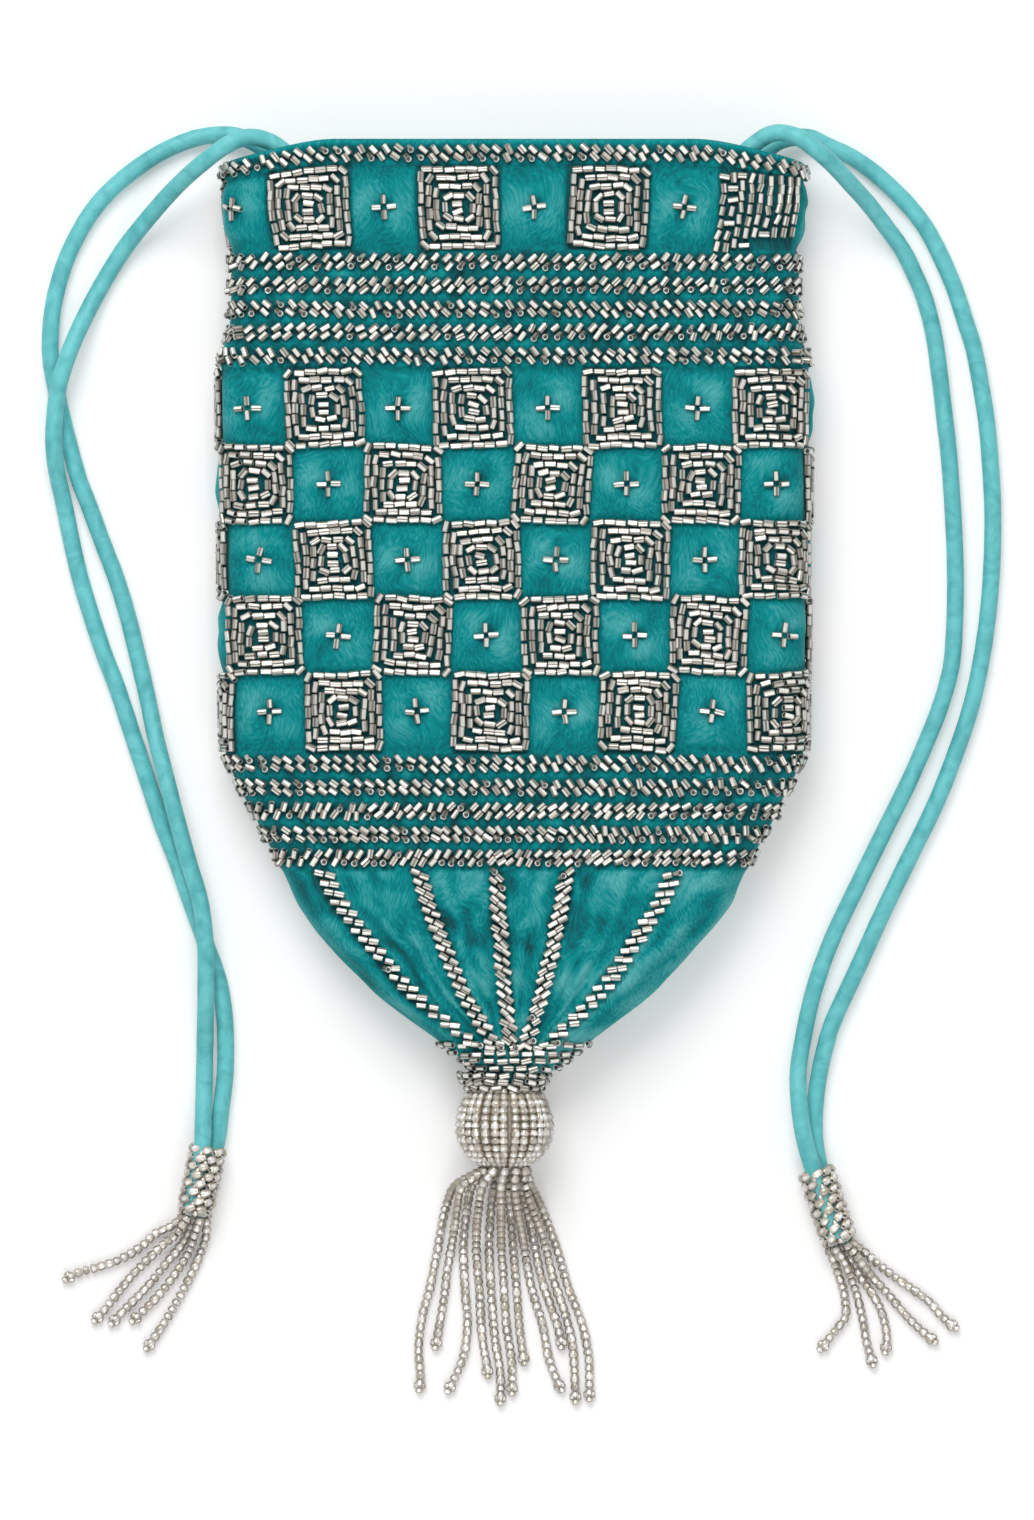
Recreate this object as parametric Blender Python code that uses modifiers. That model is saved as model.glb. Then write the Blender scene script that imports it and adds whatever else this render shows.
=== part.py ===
"""A beaded velvet drawstring bag, lying on its back.

Metres. X runs across the bag, Y from the tassel to the mouth, Z up from the table.
The origin is under the middle of the bag and its tassel, on the table.
Beadwork is laid out flat on the velvet, as it was sewn, and then wrapped round the bag.
"""

import math

import bmesh
import bpy
from mathutils import Vector

MM = 0.001

# The bag
BAG_LENGTH = 207.3 * MM
RIM_Y = 140.1 * MM
BAG_WIDTH = 129.2 * MM
BAG_THICKNESS = 16.4 * MM
VELVET_WALL = 0.8 * MM
LINING_WALL = 0.5 * MM
CLEARANCE = 0.3 * MM
SIDE_FACETS = 6
RIM_DIP = 4.8 * MM
RIM_DIP_START = 45.0 * MM
RIM_DIP_DEPTH = 15.0 * MM
TAPER_LENGTH = 47.1 * MM
TAPER_DROP = BAG_LENGTH - TAPER_LENGTH

# Outline of the velvet: distance below the rim, share of the full width, share of the full thickness
OUTLINE = (
    (0.0, 0.981, 1.0),
    (15.0 * MM, 0.981, 1.0),
    (24.65 * MM, 0.960, 1.0),
    (39.8 * MM, 0.957, 1.0),
    (49.8 * MM, 1.0, 1.0),
    (BAG_LENGTH - 72.8 * MM, 0.986, 1.0),
    (BAG_LENGTH - 62.7 * MM, 0.910, 1.0),
    (BAG_LENGTH - 52.4 * MM, 0.823, 1.0),
    (TAPER_DROP, 0.786, 1.0),
    (BAG_LENGTH - 40.3 * MM, 0.729, 0.976),
    (BAG_LENGTH - 27.1 * MM, 0.565, 0.939),
    (BAG_LENGTH - 19.3 * MM, 0.454, 0.902),
    (BAG_LENGTH - 9.5 * MM, 0.262, 0.854),
    (BAG_LENGTH - 4.7 * MM, 0.167, 0.805),
    (BAG_LENGTH - 2.1 * MM, 0.115, 0.683),
    (BAG_LENGTH, 0.068, 0.415),
)

# The casing that holds the drawstrings, between the velvet and the lining
CORD_DIAMETER = 3.8 * MM
CASING_WIDTH = CORD_DIAMETER + 2 * CLEARANCE
CASING_TOP = 3.2 * MM
CASING_HEIGHT = 8.2 * MM
CASING_STEP = 3.0 * MM
SLOT_LENGTH = 9.6 * MM
SLOT_SHOULDER = 0.12 * MM
LINING_END = BAG_LENGTH - 19.3 * MM
LINING_SLACK = 0.6 * MM
RUN_DROP = 6.9 * MM
RUN_INSET = 3.0 * MM
RUN_POINTS = 6

# Bead embroidery, from the rim down: a row, the spaced checks, five rows, the checkerboard,
# five rows and the ribs, each a gap below the one above it
BEAD_THICKNESS = 1.3 * MM
RIDGE_DEPTH = 0.5 * MM
BEADWORK_GAP = 0.6 * MM
ROW_HEIGHT = 4.0 * MM
ROW_PITCH = 5.15 * MM
ROW_RIDGES = 10
ROW_SLANT = 1.8 * MM
ROW_END = 1.5 * MM
RIM_ROW_DROP = 3.2 * MM
UPPER_ROW_SLANTS = (1, 1, -1, 1, -1)
LOWER_ROW_SLANTS = (-1, -1, 1, -1, 1)
TOP_CHECK_SIZE = 18.6 * MM
TOP_CHECK_DROP = RIM_ROW_DROP + ROW_HEIGHT / 2 + BEADWORK_GAP + TOP_CHECK_SIZE / 2
TOP_CHECK_PITCH = 33.7 * MM
TOP_CHECK_ACROSS = -46.2 * MM
UPPER_ROWS_DROP = TOP_CHECK_DROP + TOP_CHECK_SIZE / 2 + BEADWORK_GAP + ROW_HEIGHT / 2
UPPER_ROWS_END = UPPER_ROWS_DROP + ROW_PITCH * (len(UPPER_ROW_SLANTS) - 1) + ROW_HEIGHT / 2
CHECK_SIZE = 17.8 * MM
CHECK_LAP = 1.4 * MM
CHECK_ROW_LAP = 1.2 * MM
CHECK_PITCH = CHECK_SIZE - CHECK_LAP
CHECK_ROW_PITCH = CHECK_SIZE - CHECK_ROW_LAP
CHECK_FIRST_DROP = UPPER_ROWS_END + BEADWORK_GAP + CHECK_SIZE / 2
CHECK_FIRST_ACROSS = -9.1 * MM
CHECK_DRIFT = 0.95 * MM
CHECK_ROWS = 5
CHECK_RIDGES = 2
CHECKS_END = CHECK_FIRST_DROP + CHECK_ROW_PITCH * (CHECK_ROWS - 1) + CHECK_SIZE / 2
BACK_SEAM = 2.0 * MM
CROSS_LENGTH = 5.8 * MM
CROSS_ARM = 1.5 * MM
CROSS_HEIGHT = 1.0 * MM
LOWER_ROWS_DROP = CHECKS_END + BEADWORK_GAP + ROW_HEIGHT / 2
LOWER_ROWS_END = LOWER_ROWS_DROP + ROW_PITCH * (len(LOWER_ROW_SLANTS) - 1) + ROW_HEIGHT / 2
RIB_WIDTH = 3.6 * MM
RIB_TOPS = (-42.0 * MM, -21.0 * MM, -4.0 * MM, 11.4 * MM, 35.0 * MM)
RIB_TOP_DROP = LOWER_ROWS_END + BEADWORK_GAP
RIB_RIDGE_PITCH = 9.0 * MM
RIB_NARROWING = 0.62
RIB_OVERLAP = 1.2 * MM
CAP_DROP = BAG_LENGTH - 9.1 * MM
CAP_END = BAG_LENGTH - 2.4 * MM
CAP_ROWS = 3

# The ball and its tassel
BALL_ACROSS = -2.2 * MM
BALL_RADIUS = 10.7 * MM
BALL_HALF_LENGTH = 9.6 * MM
BALL_LIFT = 0.05 * MM
BALL_RIDGES = 14
BALL_RIDGE_DEPTH = 0.6 * MM
BALL_CENTRE = Vector((
    BALL_ACROSS,
    RIM_Y - BAG_LENGTH - CLEARANCE - BALL_HALF_LENGTH,
    BALL_RADIUS + BALL_LIFT,
))
STRAND_DIAMETER = 2.0 * MM
STRAND_REST = STRAND_DIAMETER / 2 + 0.03 * MM
NECK_RADIUS = 5.0 * MM
LOWER_FALL = 13.0 * MM
UPPER_FALL = 22.0 * MM

# Collars at the ends of the drawstrings
COLLAR_RADIUS = 4.0 * MM
COLLAR_ROWS = 6
COLLAR_RIDGE = 0.6 * MM
COLLAR_HEIGHT = COLLAR_RADIUS + 0.05 * MM
COLLAR_SIDES = 12
COLLAR_GAP = 0.9 * MM
COLLAR_LOWER_FALL = 6.0 * MM
COLLAR_UPPER_FALL = 11.0 * MM

# Where the five strands leave the foot of a collar: across it, and up from its axis, in millimetres
COLLAR_SPOTS = ((-2.75, -1.2), (-1.4, 1.35), (0.0, -1.2), (1.4, 1.35), (2.75, -1.2))

# The reference picture: real size of one pixel, and the pixel over the origin
PIXEL = 0.22 * MM
PIXEL_X = 514.5
PIXEL_Y = 778.0
BALL_PIXEL_X = 504.5
BALL_PIXEL_Y = 1128.4545

# Drawstring tails, as picture x, picture y and height in millimetres, from the mouth to the collar
FRONT_LEFT_TAIL = (
    (297, 166, 14.7), (285, 153, 14.6), (270, 143, 14.5), (250, 139, 15.9), (228, 147.5, 18.1),
    (198, 169, 15.5), (168, 195, 9.0), (130.7, 236.6, 3.4), (109, 268, 2.0), (91.2, 299.8, 2.6),
    (77.3, 329.5, 4.8), (66, 358, 6.1), (57.5, 387, 6.2), (53.5, 420, 6.2), (52.8, 445, 5.8),
    (55.7, 472, 4.2), (62, 502, 2.2), (69.7, 540.3, 1.95), (78.7, 578.6, 1.95), (90.2, 616.8, 1.95),
    (102.9, 655, 1.95), (115.7, 688.3, 1.95), (131, 735, 1.95), (146, 780, 1.95), (161, 825, 1.95),
    (174.7, 860, 1.95), (188.7, 900, 1.95), (203, 940, 1.95), (217, 980, 1.95), (222.5, 1010, 1.95),
    (224.5, 1040, 1.95), (224, 1075, 1.95), (220, 1110, 1.95), (215.5, 1144, 2.3),
)
BACK_LEFT_TAIL = (
    (281, 166, 4.9), (269, 153, 4.9), (254, 141.5, 4.9), (233.6, 133.7, 4.2), (209.8, 133.2, 2.9),
    (188, 137.7, 2.1), (162.4, 148.6, 1.95), (138.6, 163.4, 1.95), (115, 182, 1.95),
    (95.1, 203, 1.95), (79.3, 226.7, 1.95), (66.5, 252.4, 1.95), (57.6, 278, 1.95),
    (50.5, 310, 1.95), (48.3, 347.3, 1.95), (51.6, 375, 1.95), (58, 405, 1.95), (66.5, 440, 1.95),
    (77, 478, 1.95), (86.3, 502, 1.95), (100.4, 540.3, 1.95), (114.9, 578.6, 1.95),
    (126.5, 616.8, 1.95), (136, 655, 1.95), (145.5, 695, 2.0), (154, 735, 3.2),
    (164.5, 775, 5.2), (175, 815, 6.1), (187.3, 860, 6.2), (199.3, 900, 6.2), (204.6, 940, 6.2),
    (205.2, 985, 5.9), (204.5, 1020, 4.0), (203.6, 1055, 2.3), (203, 1085, 2.4),
    (202.4, 1115, 3.8), (201.8, 1143, 5.6),
)
FRONT_RIGHT_TAIL = (
    (733, 166, 14.7), (745, 153, 14.6), (757, 143, 14.5), (768, 136.5, 15.0), (780.5, 134.7, 16.4),
    (797.3, 139.7, 17.9), (815, 152.5, 18.0), (833, 167.3, 15.6), (850.7, 185, 12.0),
    (868.5, 203, 8.0), (886.3, 224.7, 4.8), (904, 248.4, 2.6), (916, 272, 2.0),
    (925.9, 295.9, 1.95), (935.5, 333, 1.95), (941.7, 377, 1.95), (946.6, 418.5, 1.95),
    (950.4, 451, 1.95), (954.2, 502, 1.95), (956.7, 553, 1.95), (957, 604, 1.95),
    (954.4, 655, 1.95), (949.6, 680.6, 1.95), (942, 706, 1.95), (932.2, 731.6, 1.95),
    (910.3, 782, 1.95), (884.7, 833.6, 1.95), (858.4, 887.2, 1.95), (833, 940.7, 1.95),
    (814.2, 994.3, 1.95), (802.7, 1047.9, 2.2), (799, 1075, 3.4), (799.5, 1101.5, 5.4),
    (802.7, 1128.3, 6.1), (807.5, 1150, 6.1), (812.6, 1167, 6.05),
)
BACK_RIGHT_TAIL = (
    (752, 166, 4.9), (764, 153, 4.9), (776, 142, 5.0), (791, 136.5, 4.6), (810.2, 135.5, 3.2),
    (829, 143.6, 2.1), (850.7, 153.5, 1.95), (870.5, 166.4, 1.95), (890.3, 183.2, 1.95),
    (908, 201, 1.95), (923.9, 220.7, 1.95), (937.7, 244.5, 1.95), (955, 283, 1.95),
    (966.5, 318, 1.95), (975.7, 347.3, 1.95), (983.2, 386.8, 1.95), (988.2, 418.5, 1.95),
    (991.4, 451, 1.95), (994.5, 502, 1.95), (994.2, 553, 1.95), (990.9, 604, 1.95),
    (984, 655, 1.95), (973, 706, 1.95), (956, 757, 1.95), (936, 806.8, 1.95),
    (909.8, 860.4, 1.95), (883.9, 914, 1.95), (859.7, 967.5, 1.95), (835, 1021, 1.95),
    (826, 1050, 1.95), (820, 1078, 1.95), (816.5, 1105, 1.95), (815.5, 1130, 1.95),
    (817, 1150, 2.0), (820.2, 1165.5, 2.05),
)
TAIL_POINTS = 28

# Strands of the big tassel, as picture x and y, from the ball down; each begins at the neck
TASSEL_ROUTES = (
    ((455.7, 1185.7), (446.8, 1205), (441.8, 1225), (437.5, 1250), (433.4, 1271), (428.9, 1293),
     (423.6, 1311), (419.5, 1334), (418.2, 1356), (420, 1378), (418, 1400)),
    ((462, 1187), (457, 1210), (453.5, 1234), (450.4, 1253), (447, 1272), (445, 1290),
     (442.5, 1308), (439.6, 1325), (436.5, 1342), (433.4, 1358)),
    ((472, 1187), (467, 1210), (464, 1234), (463.2, 1253), (463.8, 1275), (465.5, 1301),
     (467.3, 1320), (466.4, 1340), (462.9, 1360), (455.5, 1378), (444.5, 1400)),
    ((482, 1187), (478.5, 1210), (476.3, 1232), (476.2, 1253), (477.4, 1272), (479.2, 1292),
     (480.2, 1311), (481, 1329), (483, 1347), (486, 1364), (488, 1382)),
    ((494, 1187), (491, 1210), (489.4, 1232), (489, 1253), (490, 1275), (491.4, 1298),
     (492.6, 1318), (494.4, 1338), (497.5, 1358), (500.4, 1380), (500.2, 1411)),
    ((501, 1187), (501, 1210), (501, 1232), (501.4, 1253), (502.8, 1272), (504, 1292),
     (505, 1311), (506.6, 1330), (509.5, 1350), (512, 1370), (512, 1400)),
    ((509, 1187), (510, 1210), (511.6, 1232), (513.4, 1253), (515, 1272), (516.6, 1292),
     (518, 1311), (519.4, 1330), (522, 1350), (524.6, 1368)),
    ((514.5, 1187), (517.5, 1210), (521.5, 1232), (525, 1253), (528, 1272), (531.5, 1290),
     (537, 1309), (542.3, 1326), (545.6, 1343), (549, 1361), (555, 1378), (562, 1394)),
    ((521, 1187), (526, 1210), (531.5, 1232), (535.8, 1253), (539.5, 1272), (544.4, 1290),
     (551, 1309), (557, 1326), (561, 1343), (562, 1358)),
    ((525.5, 1187), (533, 1210), (541, 1232), (546.8, 1253), (551, 1272), (556.5, 1291),
     (563.5, 1310), (569, 1330), (573, 1350), (574.6, 1372), (576, 1410)),
    ((530.5, 1185), (540, 1205), (549, 1228), (557, 1250), (562.6, 1270), (568.5, 1290),
     (576, 1309), (583, 1328), (587, 1347), (589.6, 1367), (589.6, 1404)),
)

# Collars: picture x and y of the top and the foot, and the routes of the strands below each
LEFT_COLLAR = ((207.0, 1150.0), (193.5, 1217.0))
RIGHT_COLLAR = ((817.0, 1173.0), (841.0, 1245.0))
LEFT_STRANDS = (
    ((172, 1227), (153.3, 1236), (138, 1250), (116.5, 1262.5), (93.6, 1270), (73.7, 1276), (58.4, 1285.4)),
    ((176, 1235), (162.5, 1246), (148, 1260), (131, 1277), (117, 1294), (104.3, 1310), (88, 1329)),
    ((186, 1237), (176, 1252), (165, 1265), (150, 1284), (136, 1299), (122, 1313), (107, 1329)),
    ((193, 1239), (187, 1255), (177, 1271), (165, 1288), (152, 1303), (139, 1316), (125, 1329)),
    ((205, 1237), (200, 1253), (192.5, 1271), (183, 1290), (173, 1308), (161, 1328), (144, 1353)),
)
RIGHT_STRANDS = (
    ((836, 1264), (840, 1278), (844.8, 1292), (847, 1307), (847, 1319), (840, 1329), (820, 1354)),
    ((847, 1268), (852.5, 1281), (858, 1296), (861.9, 1311), (865, 1326), (868.2, 1345), (876.4, 1374)),
    ((856, 1268), (864, 1282), (873, 1295), (881, 1309), (886.5, 1326), (888.5, 1343), (886, 1359)),
    ((863, 1265), (873, 1278), (884, 1290), (896, 1304), (908, 1318), (921, 1331), (941, 1348)),
    ((866, 1254), (878, 1265), (893.3, 1277), (913.2, 1291), (931, 1304), (944, 1319), (960, 1333)),
)
STRAND_POINTS = 9

VELVET = ("velvet", (0.0, 0.235, 0.25, 1.0), 0.9, 0.0)
LINING_CLOTH = ("lining_cloth", (0.09, 0.40, 0.41, 1.0), 0.7, 0.0)
CORD_CLOTH = ("cord_cloth", (0.14, 0.58, 0.60, 1.0), 0.6, 0.0)
BUGLES = ("silver_lined_bugles", (0.62, 0.58, 0.53, 1.0), 0.25, 0.9)
SEED_BEADS = ("clear_seed_beads", (0.66, 0.62, 0.57, 1.0), 0.2, 0.6)


def finish_of(name, colour, roughness, metallic):
    """One Principled material for each finish, shared by the parts that have it."""
    found = bpy.data.materials.get(name)
    if found:
        return found
    material = bpy.data.materials.new(name)
    material.use_nodes = True
    shader = material.node_tree.nodes["Principled BSDF"]
    shader.inputs["Base Color"].default_value = colour
    shader.inputs["Roughness"].default_value = roughness
    shader.inputs["Metallic"].default_value = metallic
    material.diffuse_color = colour
    return material


def add_object(name, mesh_or_curve, finish, collection):
    part = bpy.data.objects.new(name, mesh_or_curve)
    part.data.materials.append(finish_of(*finish))
    collection.objects.link(part)
    return part


def mesh_from(bm, name):
    mesh = bpy.data.meshes.new(name)
    bm.to_mesh(mesh)
    bm.free()
    return mesh


def evaluated_mesh(part):
    """The part's mesh with its modifiers applied; the part itself is removed."""
    graph = bpy.context.evaluated_depsgraph_get()
    mesh = bpy.data.meshes.new_from_object(part.evaluated_get(graph))
    bpy.data.objects.remove(part)
    return mesh


FLAT_HALF = BAG_WIDTH / 2 - BAG_THICKNESS / 2
SIDE_RADIUS = BAG_THICKNESS / 2
HALF_GIRTH = 2 * FLAT_HALF + math.pi * SIDE_RADIUS
FRONT_REACH = FLAT_HALF + math.pi * SIDE_RADIUS - ROW_END
COLUMNS = range(-math.ceil(HALF_GIRTH / CHECK_PITCH), math.ceil(HALF_GIRTH / CHECK_PITCH))
BACK_BEAD_HEIGHT = CLEARANCE + BEAD_THICKNESS
BAG_HEIGHT = BACK_BEAD_HEIGHT + SIDE_RADIUS


def section(drop):
    """Half width, half thickness and height of the middle of the bag, at a distance below the rim."""
    drop = min(max(drop, 0.0), BAG_LENGTH)
    for upper, lower in zip(OUTLINE, OUTLINE[1:]):
        if drop <= lower[0]:
            break
    share = (drop - upper[0]) / (lower[0] - upper[0])
    half_width = (upper[1] + share * (lower[1] - upper[1])) * BAG_WIDTH / 2
    half_thickness = (upper[2] + share * (lower[2] - upper[2])) * BAG_THICKNESS / 2
    lift = max(0.0, (drop - TAPER_DROP) / (BAG_LENGTH - TAPER_DROP))
    return half_width, half_thickness, BAG_HEIGHT + lift * (BALL_CENTRE.z - BAG_HEIGHT)


def rim_dip(across, drop):
    """How far the cloth at a side has sunk below the middle of the rim."""
    from_side = abs(abs(across) - HALF_GIRTH / 2)
    share = 1.0 - from_side / (HALF_GIRTH / 2 - RIM_DIP_START)
    return RIM_DIP * max(0.0, share) * max(0.0, 1.0 - drop / RIM_DIP_DEPTH)


def on_bag(across, drop, out):
    """A point of the cloth: distance across from the middle of the front, below the rim, and off the velvet."""
    half_width, half_thickness, height = section(drop)
    flat = half_width - half_thickness
    side = math.copysign(1.0, across)
    reach = abs(across)
    if reach <= FLAT_HALF:
        x, angle = side * reach * flat / FLAT_HALF, 0.0
    elif reach <= FLAT_HALF + math.pi * SIDE_RADIUS:
        x, angle = side * flat, (reach - FLAT_HALF) / SIDE_RADIUS
    else:
        x, angle = side * (HALF_GIRTH - reach) * flat / FLAT_HALF, math.pi
    radius = half_thickness + out
    y = RIM_Y - drop - rim_dip(across, drop)
    return Vector((x + side * radius * math.sin(angle), y, height + radius * math.cos(angle)))


def side_folds():
    """The lines down the cloth where the facets of the rounded sides meet, left to right."""
    side = [FLAT_HALF + math.pi * SIDE_RADIUS * i / SIDE_FACETS for i in range(SIDE_FACETS + 1)]
    return [-across for across in reversed(side)] + side


def fold_lines():
    """The side folds, and those that start the dip of the rim on the front and the back."""
    dips = [RIM_DIP_START, HALF_GIRTH - RIM_DIP_START]
    return sorted([-across for across in dips] + side_folds() + dips)


def wrap(bm):
    """Wraps flat beadwork (x across, y minus the drop, z off the velvet) round the facets of the bag."""
    near_rim = max(vert.co.y for vert in bm.verts) > -RIM_DIP_DEPTH
    folds = fold_lines() if near_rim else side_folds()
    lines = [(Vector((across, 0, 0)), Vector((1, 0, 0))) for across in folds]
    lines += [(Vector((0, -row[0], 0)), Vector((0, 1, 0))) for row in OUTLINE]
    for place, normal in lines:
        ahead = [(vert.co - place).dot(normal) for vert in bm.verts]
        if min(ahead) < -1e-5 and max(ahead) > 1e-5:
            everything = bm.verts[:] + bm.edges[:] + bm.faces[:]
            bmesh.ops.bisect_plane(bm, geom=everything, plane_co=place, plane_no=normal, dist=1e-5)
    for vert in bm.verts:
        vert.co = on_bag(vert.co.x, -vert.co.y, vert.co.z)


def loft(rows):
    """A sock of rings through (drop, out) rows, open at its first ring and closed at its last."""
    bm = bmesh.new()
    rings = [[bm.verts.new(on_bag(across, drop, out)) for across in fold_lines()] for drop, out in rows]
    for upper, lower in zip(rings, rings[1:]):
        for i in range(len(upper)):
            bm.faces.new((upper[i - 1], lower[i - 1], lower[i], upper[i]))
    bm.faces.new(rings[-1][::-1])
    return bm


def solidified(bm, name, wall, finish, collection):
    part = add_object(name, mesh_from(bm, name), finish, collection)
    shell = part.modifiers.new("wall", "SOLIDIFY")
    shell.thickness = wall
    shell.offset = -1.0
    return part


def cross_centres():
    """The middles of the plain fields of the front: between the top checks, and in the checkerboard."""
    spots = [(across + TOP_CHECK_PITCH / 2, TOP_CHECK_DROP) for across in top_check_places()]
    for row in range(CHECK_ROWS):
        spots += [check_centre(row, column) for column in COLUMNS if (row + column) % 2]
    return [(across, drop) for across, drop in spots if abs(across) < FLAT_HALF + SIDE_RADIUS]


def top_check_places():
    """How far across each of the spaced checks under the rim is, all round the bag."""
    most = HALF_GIRTH - BACK_SEAM - TOP_CHECK_SIZE / 2
    places = [TOP_CHECK_ACROSS + TOP_CHECK_PITCH * i for i in COLUMNS]
    return [across for across in places if abs(across) < most]


def check_centre(row, column):
    across = CHECK_FIRST_ACROSS + CHECK_PITCH * column + CHECK_DRIFT * row
    return across, CHECK_FIRST_DROP + CHECK_ROW_PITCH * row


def flat_cross(bm, across, drop):
    """A plus of four bugles, sunk halfway into the velvet so that it joins it."""
    arm = CROSS_ARM / 2
    reach = CROSS_LENGTH / 2
    corner = ((arm, reach), (arm, arm), (reach, arm))
    outline = [(x * i, y * j) for i, j, path in (
        (1, 1, corner), (1, -1, corner[::-1]), (-1, -1, corner), (-1, 1, corner[::-1])
    ) for x, y in path]
    verts = [bm.verts.new((across + x, y - drop, -VELVET_WALL / 2)) for x, y in outline]
    face = bm.faces.new(verts)
    raised = bmesh.ops.extrude_face_region(bm, geom=[face])["geom"]
    for vert in (item for item in raised if isinstance(item, bmesh.types.BMVert)):
        vert.co.z = CROSS_HEIGHT
    bmesh.ops.recalc_face_normals(bm, faces=bm.faces[:])


def flat_box(bm, across, drop, width, height, low, high):
    cube = bmesh.ops.create_cube(bm, size=1.0)["verts"]
    for vert in cube:
        vert.co.x = across + vert.co.x * width
        vert.co.y = -drop + vert.co.y * height
        vert.co.z = low + (vert.co.z + 0.5) * (high - low)
    return cube


def velvet_shell(collection, cutters):
    """The velvet sock, with the small crosses of the front sewn to it."""
    sock = loft([(row[0], 0.0) for row in OUTLINE])
    shell = solidified(sock, "velvet_shell", VELVET_WALL, VELVET, collection)
    crosses = bmesh.new()
    for across, drop in cross_centres():
        flat_cross(crosses, across, drop)
    wrap(crosses)
    helper = add_object("sewn_crosses", mesh_from(crosses, "sewn_crosses"), BUGLES, cutters)
    join = shell.modifiers.new("crosses", "BOOLEAN")
    join.operation = "UNION"
    join.object = helper
    return shell


def lining(collection, cutters):
    """The lining, stepped in under the rim to leave the casing, whose lid is cut open for the four tails."""
    outer = -(VELVET_WALL + CLEARANCE)
    inner = outer - CASING_WIDTH
    foot = CASING_TOP + CASING_HEIGHT
    rows = [(CASING_TOP, outer), (CASING_TOP, inner), (foot, inner), (foot + CASING_STEP, outer)]
    for drop in [row[0] for row in OUTLINE if foot + CASING_STEP < row[0] < LINING_END] + [LINING_END]:
        rows.append((drop, outer - LINING_SLACK if drop > TAPER_DROP else outer))
    cloth = solidified(loft(rows), "lining", LINING_WALL, LINING_CLOTH, collection)
    for name, tail in TAILS:
        slot = bmesh.new()
        start, clear = picture_point(tail[0]), picture_point(tail[1])
        crossing = start.lerp(clear, (RIM_Y - CASING_TOP - start.y) / (clear.y - start.y))
        side = math.copysign(1.0, start.z - BAG_HEIGHT)
        edges = sorted(BAG_HEIGHT + side * (SIDE_RADIUS + out) for out in
                       (inner + SLOT_SHOULDER, outer + SLOT_SHOULDER))
        flat_box(slot, crossing.x, CASING_TOP + RIM_DIP / 4 - RIM_Y, SLOT_LENGTH, RIM_DIP, *edges)
        cutter = add_object(name + "_slot", mesh_from(slot, name + "_slot"), LINING_CLOTH, cutters)
        cut = cloth.modifiers.new(name, "BOOLEAN")
        cut.operation = "DIFFERENCE"
        cut.object = cutter
    return cloth


def ridged_square(bm, across, drop, size, ridges):
    """A pad of beads in concentric squares, each a ridge: its top is inset up and down in turn."""
    flat_box(bm, across, drop, size, size, CLEARANCE, CLEARANCE + BEAD_THICKNESS - RIDGE_DEPTH)
    bm.faces.ensure_lookup_table()
    top = max(bm.faces[-6:], key=lambda face: face.calc_center_median().z)
    step = size / (4 * ridges + 2)
    for i in range(2 * ridges):
        depth = RIDGE_DEPTH if i % 2 == 0 else -RIDGE_DEPTH
        bmesh.ops.inset_individual(bm, faces=[top], thickness=step, depth=depth)


def trim(bm, limit, side):
    """Cuts flat beadwork straight down at a distance across, and closes the cut."""
    everything = bm.verts[:] + bm.edges[:] + bm.faces[:]
    bmesh.ops.bisect_plane(bm, geom=everything, plane_co=(limit, 0, 0), plane_no=(side, 0, 0), clear_outer=True)
    bmesh.ops.holes_fill(bm, edges=[edge for edge in bm.edges if edge.is_boundary])


def check_net(name, columns, ridges, cutters):
    """Checks that meet at their corners, joined as one net: the odd rows are added to the even ones."""
    halves = []
    for parity in (0, 1):
        bm = bmesh.new()
        for row in range(parity, CHECK_ROWS, 2):
            for across, drop in [check_centre(row, column) for column in columns if (row + column) % 2 == 0]:
                if ridges:
                    ridged_square(bm, across, drop, CHECK_SIZE, ridges)
                else:
                    flat_box(bm, across, drop, CHECK_SIZE, CHECK_SIZE, CLEARANCE, BACK_BEAD_HEIGHT)
        half = f"{name}_rows_{parity}"
        halves.append(add_object(half, mesh_from(bm, half), BUGLES, cutters))
    union = halves[0].modifiers.new("join", "BOOLEAN")
    union.operation = "UNION"
    union.object = halves[1]
    net = bmesh.new()
    net.from_mesh(evaluated_mesh(halves[0]))
    bpy.data.objects.remove(halves[1])
    return net


def checkerboards(collection, cutters):
    """One checkerboard all round the bag, apart at the middle of the back, in three nets."""
    ends = {column: (check_centre(0, column)[0], check_centre(CHECK_ROWS - 1, column)[0]) for column in COLUMNS}
    most = HALF_GIRTH - BACK_SEAM - CHECK_SIZE / 2
    on_front = [column for column, (top, foot) in ends.items() if top < FRONT_REACH and foot > -FRONT_REACH]
    on_right = [column for column, (top, foot) in ends.items() if top >= FRONT_REACH and foot <= most]
    on_left = [column for column, (top, foot) in ends.items() if foot <= -FRONT_REACH and top >= -most]
    front = check_net("bead_checks_front", on_front, CHECK_RIDGES, cutters)
    back_right = check_net("bead_checks_back_right", on_right, 0, cutters)
    back_left = check_net("bead_checks_back_left", on_left, 0, cutters)
    trim(front, FRONT_REACH, 1)
    trim(front, -FRONT_REACH, -1)
    trim(back_right, FRONT_REACH + CLEARANCE, -1)
    trim(back_left, -FRONT_REACH - CLEARANCE, 1)
    for name, net in (
        ("bead_checks_front", front),
        ("bead_checks_back_right", back_right),
        ("bead_checks_back_left", back_left),
    ):
        wrap(net)
        add_object(name, mesh_from(net, name), BUGLES, collection)


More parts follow.
